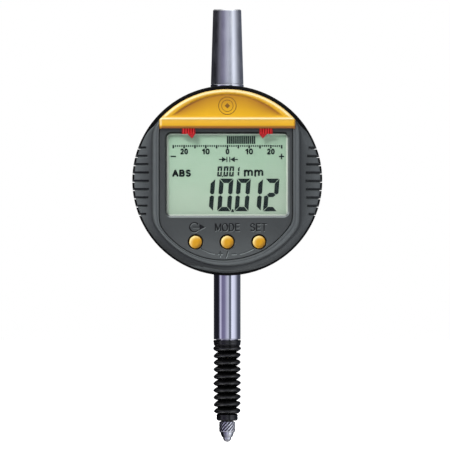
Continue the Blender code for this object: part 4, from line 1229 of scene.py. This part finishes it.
cover = make("marker_cover_dished", cover_solid())
cut(cover, prism(rect(-19.6, 19.6, 14.5, 18.3), -12.70, -11.0))
# painted shade: faces that lie towards the back get a darker tone
finish(cover, "display_head", "marker_cover", "cover_yellow", smooth=40,
       tone=lambda x, y, z: np.where(y > -12.2, 0.7, cover_shape(x, z)[1]))

# emblem: two rings round a small lozenge, following the dish
emblem_y = float(cover_shape(0.0, EMBLEM_Z)[0])
emblem_pen = Pen(emblem_y - 0.04, emblem_y + 0.12, width=0.20, back_width=0.20)
emblem = make(
    "cover_emblem",
    trace(circle(2.6, 0.0, EMBLEM_Z, 96), emblem_pen, closed=True),
    trace(circle(1.7, 0.0, EMBLEM_Z, 72), emblem_pen._replace(width=0.16, back_width=0.16),
          closed=True),
    prism([(0, EMBLEM_Z - 0.8), (0.8, EMBLEM_Z), (0, EMBLEM_Z + 0.8), (-0.8, EMBLEM_Z)],
          emblem_pen.front, emblem_pen.back))
for vertex in emblem.data.vertices:
    vertex.co.y += float(cover_shape(vertex.co.x, vertex.co.z)[0]) - emblem_y
finish(emblem, "display_head", "marker_cover", "cover_yellow", ("emblem_print",), smooth=30)

# =============================================================================
# Limit markers: a ribbed grip and a pointer at its inner side
# =============================================================================
MARKER_HALF, MARKER_FRONT = 2.0, -12.60
RIB_PITCH, RIB_DEPTH = 0.74, 0.30
# (distance towards the middle of the head on the left marker, height)
POINTER = [(-0.35, 14.3), (-0.35, 13.78), (0.9, 12.55), (0.99, 12.52), (1.08, 12.55),
           (1.97, 13.78), (1.97, 14.3)]


def limit_marker(node, body, side):
    centre = middle(node)[0]
    outline = []                                    # (x, y)
    for i in range(121):
        x = -MARKER_HALF + 2 * MARKER_HALF * i / 120
        wave = 0.5 + 0.5 * math.cos(2 * PI * x / RIB_PITCH)
        edge = max(0.0, 1 - (MARKER_HALF - abs(x)) / 0.16)
        outline.append((centre + x,
                        MARKER_FRONT + RIB_DEPTH * (1 - wave ** 0.8) + 0.16 * edge ** 2))
    outline += [(centre + MARKER_HALF, -11.97), (centre - MARKER_HALF, -11.97)]
    piece = make(node + "_ribbed", prism(outline, 13.82, 18.05, "Z"))
    add(piece, plate(mirrored(POINTER, side, centre), -12.42, -11.985, edge=0.06, n=2))

    # painted light and shade: rib crests lighter, the furrows between them darker
    def tone(x, y, z):
        ribs = 1.15 - 0.75 * np.clip((y - MARKER_FRONT) / RIB_DEPTH, 0, 1)
        return np.where((z > 13.7) & (np.abs(x - centre) < 1.9), ribs, 0.8)

    finish(piece, body, node, "marker_red", smooth=35, tone=tone)


limit_marker("limit_marker_low", "low_marker", 1)
limit_marker("limit_marker_high", "high_marker", -1)


# =============================================================================
# Keys: domed, with a flange at the back
# =============================================================================
def domed_key(name):
    node = name + "_button"
    low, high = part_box(node)
    cx, cz = middle(node)
    top, back = low.y / MM + 0.01, high.y / MM
    outline = [(0, top)]
    for k in range(1, 19):
        t = PI / 2 * k / 18
        outline.append((1.87 * math.sin(t) ** 0.92, top + 0.62 * (1 - math.cos(t) ** 0.85)))
    outline += [(1.88, -11.6), (1.88, back - 0.36), (2.35, back - 0.36), (2.45, back - 0.30),
                (2.45, back), (0, back)]

    def tone(x, y, z):
        """Painted light: paler to the upper left, with a painted highlight ring near the edge; painted
        shade on the parts behind the panel's front.
        """
        r = np.hypot(x - cx, z - cz)
        face = 1.0 + smoothstep(0.5, 1.6, r) * (0.10 - 0.34 * (x - cx) + 0.34 * (z - cz))
        return np.where(y > -11.75, 0.1, face + 0.25 * bump_at(r - 1.62, 0.14))

    finish(make(node + "_domed", lathe(outline, "Y", 72, (cx, 0, cz))), name + "_key", node,
           "button_yellow", smooth=40, tone=tone)


for name in ("data", "mode", "set"):
    domed_key(name)

# =============================================================================
# Case. Outlines turned round Y are (radius, y[, corner radius])
# =============================================================================
case_low, case_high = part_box("rear_case")
CASE_FRONT, CASE_REAR = case_low.y / MM, case_high.y / MM
CASE_SIDE = 28.0 - 0.02
SCREW_PLACES = [polar(22.8, a) for a in (45, 135, 225, 315)]
PORT_Y = 3.2                            # centre of the port in the right side
CASE_OUTLINE = [
    (14.1, CASE_FRONT, .1), (21.8, CASE_FRONT, .1), (21.8, -5.4), (23.2, -5.4),
    (23.2, CASE_FRONT, .1), (CASE_SIDE, CASE_FRONT, .3), (CASE_SIDE, 8.6, .1),
    (CASE_SIDE - 0.2, 8.75, .06), (CASE_SIDE - 0.2, 9.05, .06), (CASE_SIDE, 9.2, .1),
    (CASE_SIDE, CASE_REAR, .4), (26.0, CASE_REAR, .1), (26.0, -4.9, .5), (14.1, -4.9, .1)]
UPPER_BORE = [(0, 17.6), (3.5, 17.6), (3.5, 24.8), (4.05, 24.8), (4.05, 27.35), (5.2, 27.35),
              (5.2, 30.0), (0, 30.0)]   # (radius, z)
LOWER_BORE = [(0, -31.0), (5.6, -31.0), (5.6, -27.3), (4.1, -27.3), (4.1, -18.0), (0, -18.0)]


def pins(radius, places, n, start, y0, y1):
    return [prism(circle(radius, x, z, n, start), y0, y1) for x, z in places]


def port_block(width, height, radius, x0, x1):
    return prism(rounded(width, height, radius, PORT_Y, 0.0, 8), x0, x1, "X")


SMALL_POSTS = [(-15.5, 9.0), (15.5, 9.0)]
case = make("rear_case_shell", lathe(fillet(CASE_OUTLINE), "Y", 192))
add(case, *(prism(circle(5.5, 0, 0, 48, .02), low, high, "Z")
            for low, high in ((-27.0, -19.3), (18.9, 27.0))))
add(case, *pins(2.4, SCREW_PLACES, 24, .05, -5.3, CASE_REAR - 0.15),
    *pins(1.8, SMALL_POSTS, 20, .05, -5.3, 5.45))
cut(case, lathe(UPPER_BORE, "Z", 72), lathe(LOWER_BORE, "Z", 72))
cut(case, *pins(1.25, SCREW_PLACES, 20, .03, 3.4, 12.0), *pins(0.75, SMALL_POSTS, 16, .03, 0.6, 7.0),
    *pins(0.95, [(-9.0, -17.5)], 16, .03, -5.7, -4.0))
cut(case, arc_block(16.6, 18.4, -90 - 138.6, -90 + 138.6, -7.2, -5.5, 60))
cut(case, port_block(4.4, 8.4, 1.2, 24.0, 30.0))
cut(case, port_block(6.2, 10.4, 1.6, 27.0, 30.0))
cut(case, *(notch(z, side, -8.0, 12.0) for z, side in GRIPS))
finish(case, "case", "rear_case", "case_black", smooth=35)

# port plug, flush with the case
plug = make("port_plug_cap", port_block(5.9, 10.1, 1.5, 27.15, 30.0))
add(plug, port_block(4.1, 8.1, 1.05, 25.6, 27.6))
case_round = lathe([(0, -6.0), (28.1, -6.0), (28.1, 12.0), (0, 12.0)], "Y", 256)
boolean(plug, make("case_round", case_round), "INTERSECT")
cut(plug, *(notch(GRIP_PITCH * i, 1, -8.0, 8.4) for i in (-1, 0, 1, 2)))
bevel(plug, width=0.08, segments=2, angle=40)
finish(plug, "case", "port_plug", "plug_rubber", smooth=35)

# back cover, with counterbored screw holes and two gaps for the door's lugs
BACK_OUTLINE = [
    (11.5, 11.6), (27.38, 11.6, .15), (27.38, 13.49, .7), (25.6, 13.49, .08), (25.45, 13.30, .05),
    (25.15, 13.30, .05), (25.0, 13.49, .08), (13.6, 13.49, .1), (11.5, 13.49, .12)]
COUNTERBORE = [(0, 12.35), (2.45, 12.35), (2.45, 13.35), (2.65, 13.55), (2.65, 14.6), (0, 14.6)]
back = make("back_cover_turned", lathe(fillet(BACK_OUTLINE), "Y", 192))
cut(back, *pins(1.4, SCREW_PLACES, 32, .03, 11.0, 14.5))
cut(back, *(lathe(COUNTERBORE, "Y", 40, (x, 0, z)) for x, z in SCREW_PLACES))
cut(back, *(arc_block(10.6, 12.9, a - 14, a + 14, 11.0, 14.4) for a in (-60, 120)))
# engraved marks for the battery door: a dot and a ring
cut(back, prism(circle(0.5, *polar(13.9, 90), 20), 13.3, 14.0),
    trace(circle(0.5, *polar(13.9, 30), 24), Pen(13.3, 14.0, 0.22, 0.22), closed=True))
finish(back, "case", "back_cover", "cover_black", smooth=35, weighted=True)

# battery door, with two lugs, a slot and a mark
DOOR_OUTLINE = [
    (0, 11.7), (10.35, 11.7), (10.35, 10.8, .05), (11.28, 10.8, .05), (11.28, 13.48, .3),
    (9.6, 13.48, .08), (9.45, 13.3, .04), (9.2, 13.3, .04), (9.05, 13.48, .08), (0, 13.48)]
door = make("battery_door_slotted", lathe(fillet(DOOR_OUTLINE), "Y", 144))
add(door, *(arc_block(10.8, 12.6, a - 11, a + 11, 10.95, 11.4) for a in (0, 180)))
cut(door, prism(rounded(14.0, 1.8, 0.88), 12.6, 14.5))
cut(door, prism(circle(0.5, 0, 10.35, 20), 13.25, 14.0))
bevel(door, width=0.06, segments=1, angle=50)
finish(door, "battery_cap", "battery_door", "door_black", ("cover_black",), smooth=35, weighted=True)

# cover screws: chamfered head with a hexagonal socket, shank with thread grooves
HEAD_RADIUS_SCREW, HEAD_TOP, HEAD_SEAT = 2.22, 13.25, 12.45
SHANK_RADIUS, SHANK_END, SOCKET_RADIUS = 1.1, 4.3, 1.05
THREAD_PITCH, THREAD_TURNS = 0.5, 15
SCREW_OUTLINE = [(0, HEAD_TOP), (HEAD_RADIUS_SCREW - 0.2, HEAD_TOP),
                 (HEAD_RADIUS_SCREW, HEAD_TOP - 0.2), (HEAD_RADIUS_SCREW, HEAD_SEAT),
                 (SHANK_RADIUS, HEAD_SEAT)]
for k in range(THREAD_TURNS):
    y = HEAD_SEAT - (0.35 + THREAD_PITCH * k)
    SCREW_OUTLINE += [(SHANK_RADIUS, y), (SHANK_RADIUS - 0.12, y - 0.14), (SHANK_RADIUS, y - 0.28)]
SCREW_OUTLINE += [(SHANK_RADIUS, SHANK_END + 0.25), (SHANK_RADIUS - 0.25, SHANK_END), (0, SHANK_END)]
for i, (x, z) in enumerate(SCREW_PLACES, 1):
    screw = make(f"cover_screw_{i}_socket", lathe(SCREW_OUTLINE, "Y", 40, (x, 0, z)))
    cut(screw, prism(circle(SOCKET_RADIUS, x, z, 6, 0.26),
                     HEAD_TOP - (HEAD_TOP - HEAD_SEAT) * 0.6, HEAD_TOP + 0.5))
    finish(screw, "case", f"cover_screw_{i}", "screw_steel", smooth=35)

# seals
BACK_SEAL = [(26.2, 11.28, .08), (27.15, 11.28, .08), (27.15, 11.52, .08), (26.2, 11.52, .08)]
finish(make("back_cover_seal_ring", lathe(fillet(BACK_SEAL, 3), "Y", 160)), "case",
       "back_cover_seal", "rubber_seal", ("seal_rubber",))
finish(make("head_seal_ring", lathe(circle(0.45, 22.5, -6.1, 14), "Y", 160)), "case",
       "head_seal", "rubber_seal", ("seal_rubber",))

# turned base of the head, with four counterbored screw holes and a stop pin below
BASE_OUTLINE = [
    (12.2, -7.6, .2), (26.1, -7.6), (26.1, -6.7, .1), (13.85, -6.7, .15), (13.85, -4.65),
    (12.95, -4.65), (12.95, -3.55), (13.85, -3.55), (13.85, -3.1, .15), (12.2, -3.1, .1)]
BASE_HOLES = [polar(23.5, a) for a in (0, 90, 180, 270)]
base = make("head_base_turned", lathe(fillet(BASE_OUTLINE, 3), "Y", 160))
add(base, prism(circle(0.7, 0, -17.5, 24, .02), -7.2, -5.8))
cut(base, *pins(0.85, BASE_HOLES, 24, .02, -8.2, -6.0))
cut(base, *pins(1.65, BASE_HOLES, 32, .02, -7.25, -5.9))
finish(base, "display_head", "head_base", "base_black")

# =============================================================================
# Stem, ring and cap. Outlines turned round Z are (radius, z[, corner radius])
# =============================================================================
STEM_OUTLINE = [
    (2.7, -49.6), (3.1, -49.6, .15), (3.3, -49.3, .1), (3.3, -47.32), (3.86, -47.32, .05),
    (3.99, -47.1, .08), (3.99, -46.95), (3.99, -20.0), (3.99, -19.6, .1), (2.7, -19.6)]
RING_OUTLINE = [(4.0, 27.5), (4.93, 27.5, .1), (4.93, 28.68, .16), (4.0, 28.68)]
CAP_OUTLINE = [
    (2.9, 25.0), (3.9, 25.0, .1), (3.9, 28.72), (4.70, 28.72, .05), (4.86, 28.90, .06),
    (4.20, 50.72, .28), (3.9, 51.03, .12), (0, 51.03), (0, 50.0), (3.2, 50.0, .2), (3.2, 30.0),
    (2.9, 29.6)]
CAP_TONE = (        # painted reflection: tone from the left side (-1) to the right side (1)
    [-1.0, -0.86, -0.72, -0.58, -0.46, -0.30, -0.15, 0.0, 0.14, 0.27, 0.40, 0.53, 0.66, 0.80, 1.0],
    [1.25, 1.2, 0.60, 0.45, 0.55, 0.95, 1.22, 1.28, 1.45, 1.5, 1.5, 1.12, 0.88, 0.95, 1.3])
finish(make("stem_ground", lathe(fillet(STEM_OUTLINE, 3), n=144)), "case", "stem", "stem_chrome",
       smooth=40)
finish(make("spindle_cap_ring_polished", lathe(fillet(RING_OUTLINE))), "case", "spindle_cap_ring",
       "ring_polished")
finish(make("spindle_cap_tapered", lathe(fillet(CAP_OUTLINE, 5))), "case", "spindle_cap",
       "cap_satin", smooth=40,
       tone=lambda x, y, z: np.interp(x / np.maximum(np.hypot(x, y), 0.1), *CAP_TONE))

# =============================================================================
# Bellows: folds, and a collar at each end
# =============================================================================
FOLDS_TOP, FOLDS_BOTTOM, FOLDS = -49.1, -69.6, 10
FIRST_PEAK, FOLD_PITCH = -50.05, 2.065
VALLEY, NECK, NECK_END = 2.74, 3.66, -49.85
LEAN_RIGHT = 0.065                      # all folds are raised a little on the right
rng = np.random.default_rng(7)
fold_tilt = rng.uniform(-0.05, 0.05, (FOLDS + 1, 2))
fold_swell = rng.uniform(-0.05, 0.05, FOLDS + 1)


def fold_outline():
    outer = [(3.72, FOLDS_TOP), (NECK, FOLDS_TOP - 0.25)]
    for i in range(FOLDS):
        centre = FIRST_PEAK - FOLD_PITCH * i
        peak = 4.14 if i == 0 else 4.08 - 0.04 * i / (FOLDS - 1)
        for t in np.linspace(0.5, -0.5, 17)[:-1]:
            z = centre + t * FOLD_PITCH
            if i > 0 or t <= 0.12:
                outer.append((VALLEY + (peak - VALLEY) * (1 - abs(2 * t) ** 1.85), z))
            elif t < 0.36:              # the first fold rises from the neck
                outer.append((NECK + (peak - NECK) * (1 - (t - 0.12) / 0.24) ** 1.3, z))
    outer += [(2.66, FOLDS_BOTTOM + 0.16), (2.95, FOLDS_BOTTOM)]
    outer = sorted(outer, key=lambda p: -p[1])
    inner = [(min(max(r - 0.40, 2.14, 3.34 if z > NECK_END else 0.0), r - 0.2), z)
             for r, z in outer]
    return outer + inner[::-1]


def uneven(theta, r, z):
    """Each fold sits a little askew and is not quite round, as moulded rubber does."""
    place = (FOLDS_TOP - z) / FOLD_PITCH
    k = min(FOLDS - 1, max(0, int(place)))
    ends = float(smoothstep(0.3, 1.2, place) * smoothstep(0.1, 0.8, FOLDS - place))
    lean = (fold_tilt[k][0] + LEAN_RIGHT) * math.cos(theta) + fold_tilt[k][1] * math.sin(theta)
    swell = fold_swell[k] + 0.025 * math.cos(2 * theta + k)
    share = max(0.0, r - 3.1)
    return (r + swell * share * ends,
            z + lean * (r / 4.0) * 2.0 * ends * min(1.0, share * 2))


def crest_highlight_tone(x, y, z):
    """Painted highlights on the lower flank of each crest, strongest at the two sides of the middle."""
    tone = np.zeros_like(z)
    r = np.maximum(np.hypot(x, y), 0.1)
    across = x / r
    side = 0.12 + 0.88 * bump_at(np.abs(across) - 0.36, 0.20) * (np.abs(across) <= 0.9)
    for k in range(FOLDS):
        lean = (fold_tilt[k][0] + LEAN_RIGHT) * across + fold_tilt[k][1] * y / r
        highlight_z = FIRST_PEAK - FOLD_PITCH * k + lean * 1.9 - 0.24
        tone = np.maximum(tone, bump_at(z - highlight_z, 0.13) * side * (r > 3.2))
    return tone


folds = make("bellows_folds", lathe(fold_outline(), n=96, shape=uneven))
finish(folds, "case", "bellows", "bellows_rubber", ("bellows_folds_rubber",), smooth=60,
       tone=crest_highlight_tone)
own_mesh(folds)

UPPER_COLLAR = [
    (3.36, -47.5, .05), (3.98, -47.5, .18), (4.10, -47.85, .1), (4.10, -48.15, .1),
    (3.98, -48.3, .1), (4.02, -48.75, .1), (3.86, -49.05, .15), (3.66, -49.25, .05), (3.36, -49.25)]
LOWER_COLLAR = [
    (2.12, -69.61), (2.98, -69.61, .08), (3.20, -69.87, .12), (3.20, -70.12, .08),
    (3.12, -70.26, .08), (3.20, -70.7, .25), (3.16, -71.2, .25), (2.80, -71.58, .16),
    (2.12, -71.58, .05)]
# name, body, outline, waves round it, their phase, radius beyond which it is wavy
for name, body, outline, waves, phase, bore in (
        ("bellows_upper_collar", "case", UPPER_COLLAR, 3, 0, 3.5),
        ("bellows_lower_collar", "spindle_group", LOWER_COLLAR, 2, 1, 2.5)):
    collar = make(name, lathe(fillet(outline), n=96, shape=lambda theta, r, z: (
        r + 0.02 * math.sin(waves * theta + phase) * (r > bore), z)))
    finish(collar, body, "bellows", "bellows_rubber", smooth=50)

# =============================================================================
# Contact point with a knurled grip, and its ball
# =============================================================================
KNURL_TOP, KNURL_BOTTOM = -71.93, -74.78
KNURL_COUNT, KNURL_PITCH = 14, 1.08
BALL_RADIUS, CUP_RADIUS = 1.248, 1.285
BALL_Z = -CENTRE_Z + 1.25
# painted light: tone from the left side (-1) to the right side (1), dark on the left
CONTACT_TONE = ([-1, -0.8, -0.55, -0.25, 0.05, 0.5, 1], [0.08, 0.10, 0.32, 0.85, 1.40, 1.55, 1.5])


def knurl_depth(theta, z):
    """Diamond knurling, one hand cut deeper: 0 at the crests, 1 in the deeper grooves."""
    turn = theta / (2 * PI) * KNURL_COUNT
    deep = 0.5 + 0.5 * np.cos(2 * PI * (turn - z / KNURL_PITCH))
    cross = 0.5 + 0.5 * np.cos(2 * PI * (turn + z / KNURL_PITCH))
    fade = np.clip(np.minimum((z - KNURL_BOTTOM) / 0.12, (KNURL_TOP - z) / 0.12), 0, 1)
    return fade * np.maximum(np.clip(2.6 * deep - 0.75, 0, 1), 0.40 * cross)


def knurl(theta, r, z):
    if not (KNURL_BOTTOM + 0.04 < z < KNURL_TOP - 0.03) or r < 2.0:
        return r, z
    return r - 0.12 * float(knurl_depth(theta, z)), z


# painted light and shade: darker to the left, lighter to the right; on the knurl, painted highlights on
# the crests and painted shade in the grooves
def contact_tone(x, y, z):
    r = np.hypot(x, y)
    knurled = (z < -71.9) & (z > -74.8) & (r > 1.9)
    side = np.interp(x / np.maximum(r, 0.1), *CONTACT_TONE)
    depth = knurl_depth(np.arctan2(y, x) % (2 * PI), z)
    grip = np.clip(1.75 - 1.85 * depth, 0.035, 1.75) * (0.62 + 0.38 * np.clip(side, 0, 1))
    return np.where(knurled, grip, side)


contact = fillet([(0, -66.4), (1.0, -66.4), (1.2, -66.6), (1.2, -71.62), (1.85, -71.62, .1),
                  (1.95, -71.86, .06)], 2)
contact += [(2.42, z) for z in np.linspace(KNURL_TOP, KNURL_BOTTOM, 64)]
contact += fillet([(2.12, -74.95), (2.05, -75.0, .03), (2.02, -75.1, .1), (1.90, -75.6, .4),
                   (1.60, -76.32, .3), (CUP_RADIUS, -76.66, .04)], 4)
contact += [(CUP_RADIUS * math.cos(a), BALL_Z + CUP_RADIUS * math.sin(a))
            for a in np.radians([12, 30, 50, 65, 80])]
contact.append((0, BALL_Z + CUP_RADIUS))
finish(make("contact_point_knurled", lathe(contact, n=336, shape=knurl)), "spindle_group",
       "contact_point", "contact_steel", smooth=24, tone=contact_tone)

ball = [(BALL_RADIUS * math.cos(a), BALL_Z + BALL_RADIUS * math.sin(a))
        for a in np.radians(np.linspace(-86, 86, 40))]
ball = [(0, BALL_Z - BALL_RADIUS), *ball, (0, BALL_Z + BALL_RADIUS)]
finish(make("contact_ball_polished", lathe(ball, n=72)), "spindle_group", "contact_ball",
       "ball_carbide")

# =============================================================================
# Return spring between the case's post and the carrier's peg
# =============================================================================
SPRING_X, SPRING_LOW, SPRING_HIGH = -9.0, -17.5, -3.1       # the centres of its two hooks
SPRING_TURNS, COIL_RADIUS, HOOK_RADIUS, WIRE_RADIUS = 12, 1.35, 1.15, 0.17


def tube(path, radius, n=10):
    p = np.array(path, float)
    along = np.gradient(p, axis=0)
    along /= np.linalg.norm(along, axis=1)[:, None]
    normal = np.cross(along[0], (0.3, 1, 0.2))
    loops = []
    for centre, direction in zip(p, along):
        normal = normal - direction * (normal @ direction)
        normal /= np.linalg.norm(normal)
        side = np.cross(direction, normal)
        loops.append([tuple(centre + radius * (math.cos(a) * normal + math.sin(a) * side))
                      for a in (2 * PI * k / n for k in range(n))])
    verts, sides, caps = skin(loops)
    return verts, sides + caps


def hook(z, start):
    """Arc of 210 degrees in the XZ plane."""
    arc = [polar(HOOK_RADIUS, start + 210 * i / 24) for i in range(25)]
    return [(SPRING_X + dx, 0.0, z + dz) for dx, dz in arc]


coil_low, coil_high = SPRING_LOW + 2.6, SPRING_HIGH - 2.6
path = hook(SPRING_LOW, -150) + [(SPRING_X + 0.75, 0.25, SPRING_LOW + 1.9)]
for i in range(SPRING_TURNS * 24 + 1):
    a = 2 * PI * i / 24
    path.append((SPRING_X + COIL_RADIUS * math.cos(a), COIL_RADIUS * math.sin(a),
                 coil_low + (coil_high - coil_low) * i / (SPRING_TURNS * 24)))
path += [(SPRING_X + 0.75, -0.25, SPRING_HIGH - 1.9)] + hook(SPRING_HIGH, -60)
spring = make("return_spring_coil", tube(path, WIRE_RADIUS))
to_frame(spring.data)
spring.data.materials.append(MATERIALS["spindle_steel"])
spring.data.shade_smooth()
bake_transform(spring)
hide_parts("return_spring")

# =============================================================================
# Materials of the CAD pieces that stay
# =============================================================================
KEPT = {
    "sintered_bronze": ["stem_bush_lower", "stem_bush_upper", "case_top_bush", "stop_collar"],
    "seal_rubber": ["upper_bumper"],
    "stamped_steel": ["guide_rail", "spring_post", "guide_pin", "marker_rail", "retaining_ring"],
    "board_green": ["sensor_board", "main_board"],
    "chip_black": ["sensor_chip", "controller_chip"],
    "socket_black": ["data_socket"],
    "flex_amber": ["flex_cable"],
    "spindle_steel": ["spindle"],
    "light_alloy": ["scale_carrier"],
    "scale_glass": ["glass_scale"],
    "screw_steel": ["carrier_screw", "sensor_screw_1", "sensor_screw_2", "head_screw_1",
                    "head_screw_2", "head_screw_3", "head_screw_4"],
    "holder_black": ["battery_holder"],
    "battery_steel": ["battery"],
    "contact_nickel": ["battery_contact_negative", "battery_contact_positive"],
    "grey_silicone": ["zebra_strip_upper", "zebra_strip_lower", "keypad_mat"]}
for material, nodes in KEPT.items():
    for node in nodes:
        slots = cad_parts[node].data.materials
        slots.clear()
        slots.append(MATERIALS[material])


# =============================================================================
# Floor, world, lights, camera
# =============================================================================
def build_floor():
    """White floor that glows for the camera and hardly lights the pieces."""
    mat = Surface("floor_white")
    seen = mat.new("ShaderNodeLightPath").outputs["Is Camera Ray"]
    mat.set({"Base Color": mat.mix(mat.noise(size=60, detail=3.0),
                                   (0.93, 0.93, 0.93), (0.96, 0.96, 0.96)),
             "Roughness": 0.8, "Emission Color": (1.0, 1.0, 1.0),
             "Emission Strength": mat.remap(seen, span=(0.0, 1.0), to=(0.05, 0.78))})
    mesh = bpy.data.meshes.new("floor")
    mesh.from_pydata([(-3, -3, 0), (3, -3, 0), (3, 3, 0), (-3, 3, 0)], [], [(0, 1, 2, 3)])
    mesh.materials.append(MATERIALS["floor_white"])
    floor = bpy.data.objects.new("floor", mesh)
    floor.location.z = -0.0006
    scene.collection.objects.link(floor)
    floor.visible_glossy = False


# reflected bands: (azimuth in degrees, 0 towards the reader and growing to the right, colour)
BANDS = [
    (-180, (0.03, 0.03, 0.04)), (-92, (0.010, 0.010, 0.014)), (-72, (0.04, 0.04, 0.06)),
    (-64, (0.72, 0.71, 0.86)), (-54, (0.56, 0.55, 0.70)), (-45, (0.20, 0.18, 0.30)),
    (-22, (0.22, 0.21, 0.33)), (-10, (0.42, 0.42, 0.54)), (0, (0.60, 0.61, 0.72)),
    (12, (0.64, 0.66, 0.76)), (18, (0.15, 0.17, 0.21)), (33, (0.15, 0.17, 0.21)),
    (38, (1.05, 1.09, 1.22)), (66, (0.86, 0.90, 1.02)), (86, (0.36, 0.38, 0.46)),
    (104, (0.08, 0.09, 0.12)), (150, (0.10, 0.11, 0.14)), (180, (0.03, 0.03, 0.04))]


def build_world():
    """White for the camera, bands for reflections, soft light for everything else."""
    world = bpy.data.worlds.new("studio")
    world.use_nodes = True
    scene.world = world
    graph = Graph(world.node_tree)
    graph.tree.nodes.clear()
    direction = graph.new("ShaderNodeTexCoord").outputs["Generated"]
    x, y, z = graph.new("ShaderNodeSeparateXYZ", {0: direction}).outputs
    azimuth = graph.math("ARCTAN2", x, graph.math("MULTIPLY", y, -1.0))
    share = graph.math("ADD", graph.math("DIVIDE", azimuth, 2 * PI), 0.5)
    ramp = graph.new("ShaderNodeValToRGB", {0: share})
    ramp.color_ramp.interpolation = "LINEAR"
    stops = ramp.color_ramp.elements
    stops[0].color = (*BANDS[0][1], 1)
    stops[1].color = (*BANDS[-1][1], 1)
    for degrees, colour in BANDS[1:-1]:
        stops.new((degrees + 180) / 360).color = (*colour, 1)
    # above and below, the bands give way to an even light
    ends = graph.mix(graph.remap(z, span=(-0.1, 0.1)), (0.30, 0.30, 0.33), (1.5, 1.5, 1.5))
    steep = graph.remap(graph.math("ABSOLUTE", z), span=(0.45, 0.85), smooth=True)
    reflected = graph.mix(steep, ramp.outputs[0], ends)
    # the soft light is brighter from above and the left
    slant = graph.math("ADD", graph.math("MULTIPLY", z, 0.85), graph.math("MULTIPLY", x, -0.35))
    fill = graph.remap(slant, span=(-1.0, 1.0), to=(0.08, 0.48))
    soft = graph.new("ShaderNodeCombineXYZ", {0: fill, 1: fill, 2: fill}).outputs[0]
    ray = graph.new("ShaderNodeLightPath").outputs
    light = graph.new("ShaderNodeBackground",
                      {0: graph.mix(ray["Is Glossy Ray"], soft, reflected)}).outputs[0]
    white = graph.new("ShaderNodeBackground", {0: (1, 1, 1), 1: 1.0}).outputs[0]
    both = graph.new("ShaderNodeMixShader", {0: ray["Is Camera Ray"], 1: light, 2: white})
    graph.new("ShaderNodeOutputWorld", {0: both.outputs[0]})


def area_light(name, at, size, watts, colour):
    """Disk light aimed at the case centre, unseen by the camera and in reflections."""
    light = bpy.data.lights.new(name, "AREA")
    light.shape, light.size, light.energy, light.color = "DISK", size, watts, colour
    lamp = bpy.data.objects.new(name, light)
    scene.collection.objects.link(lamp)
    lamp.location = at
    aim = Vector((0, 0, CENTRE_Z * MM)) - Vector(at)
    lamp.rotation_euler = aim.to_track_quat("-Z", "Y").to_euler()
    lamp.visible_glossy = False
    lamp.visible_camera = False


VIEW_MARGIN = 1.04046243            # height of the view over the height of the product
VIEW_TURN = math.radians(-0.25)


def build_camera():
    """Long lens straight in front, turned a little to the left."""
    data = bpy.data.cameras.new("camera")
    data.lens, data.sensor_width = 900.0, 36.0
    camera = bpy.data.objects.new("camera", data)
    scene.collection.objects.link(camera)
    distance = (cad_high.z - cad_low.z) * VIEW_MARGIN * data.lens / data.sensor_width
    aim = Vector((-0.00064, 0.0, (cad_low.z + cad_high.z) / 2 + 0.0002))
    camera.location = aim + Vector((math.sin(VIEW_TURN) * distance,
                                    -math.cos(VIEW_TURN) * distance, 0))
    camera.rotation_euler = (PI / 2, 0, VIEW_TURN)
    data.clip_start, data.clip_end = 0.01, 50
    scene.camera = camera


build_floor()
build_world()
area_light("key", at=(-0.28, -0.42, 0.52), size=0.24, watts=3.1, colour=(1.0, 0.99, 0.97))
area_light("fill", at=(0.45, -0.55, 0.10), size=0.45, watts=0.35, colour=(0.96, 0.98, 1.0))
area_light("back", at=(0.15, 0.6, 0.45), size=0.5, watts=2.5, colour=(1, 1, 1))
scene.view_settings.view_transform = "Standard"
scene.view_settings.look = "None"
scene.view_settings.exposure = 0.0
build_camera()
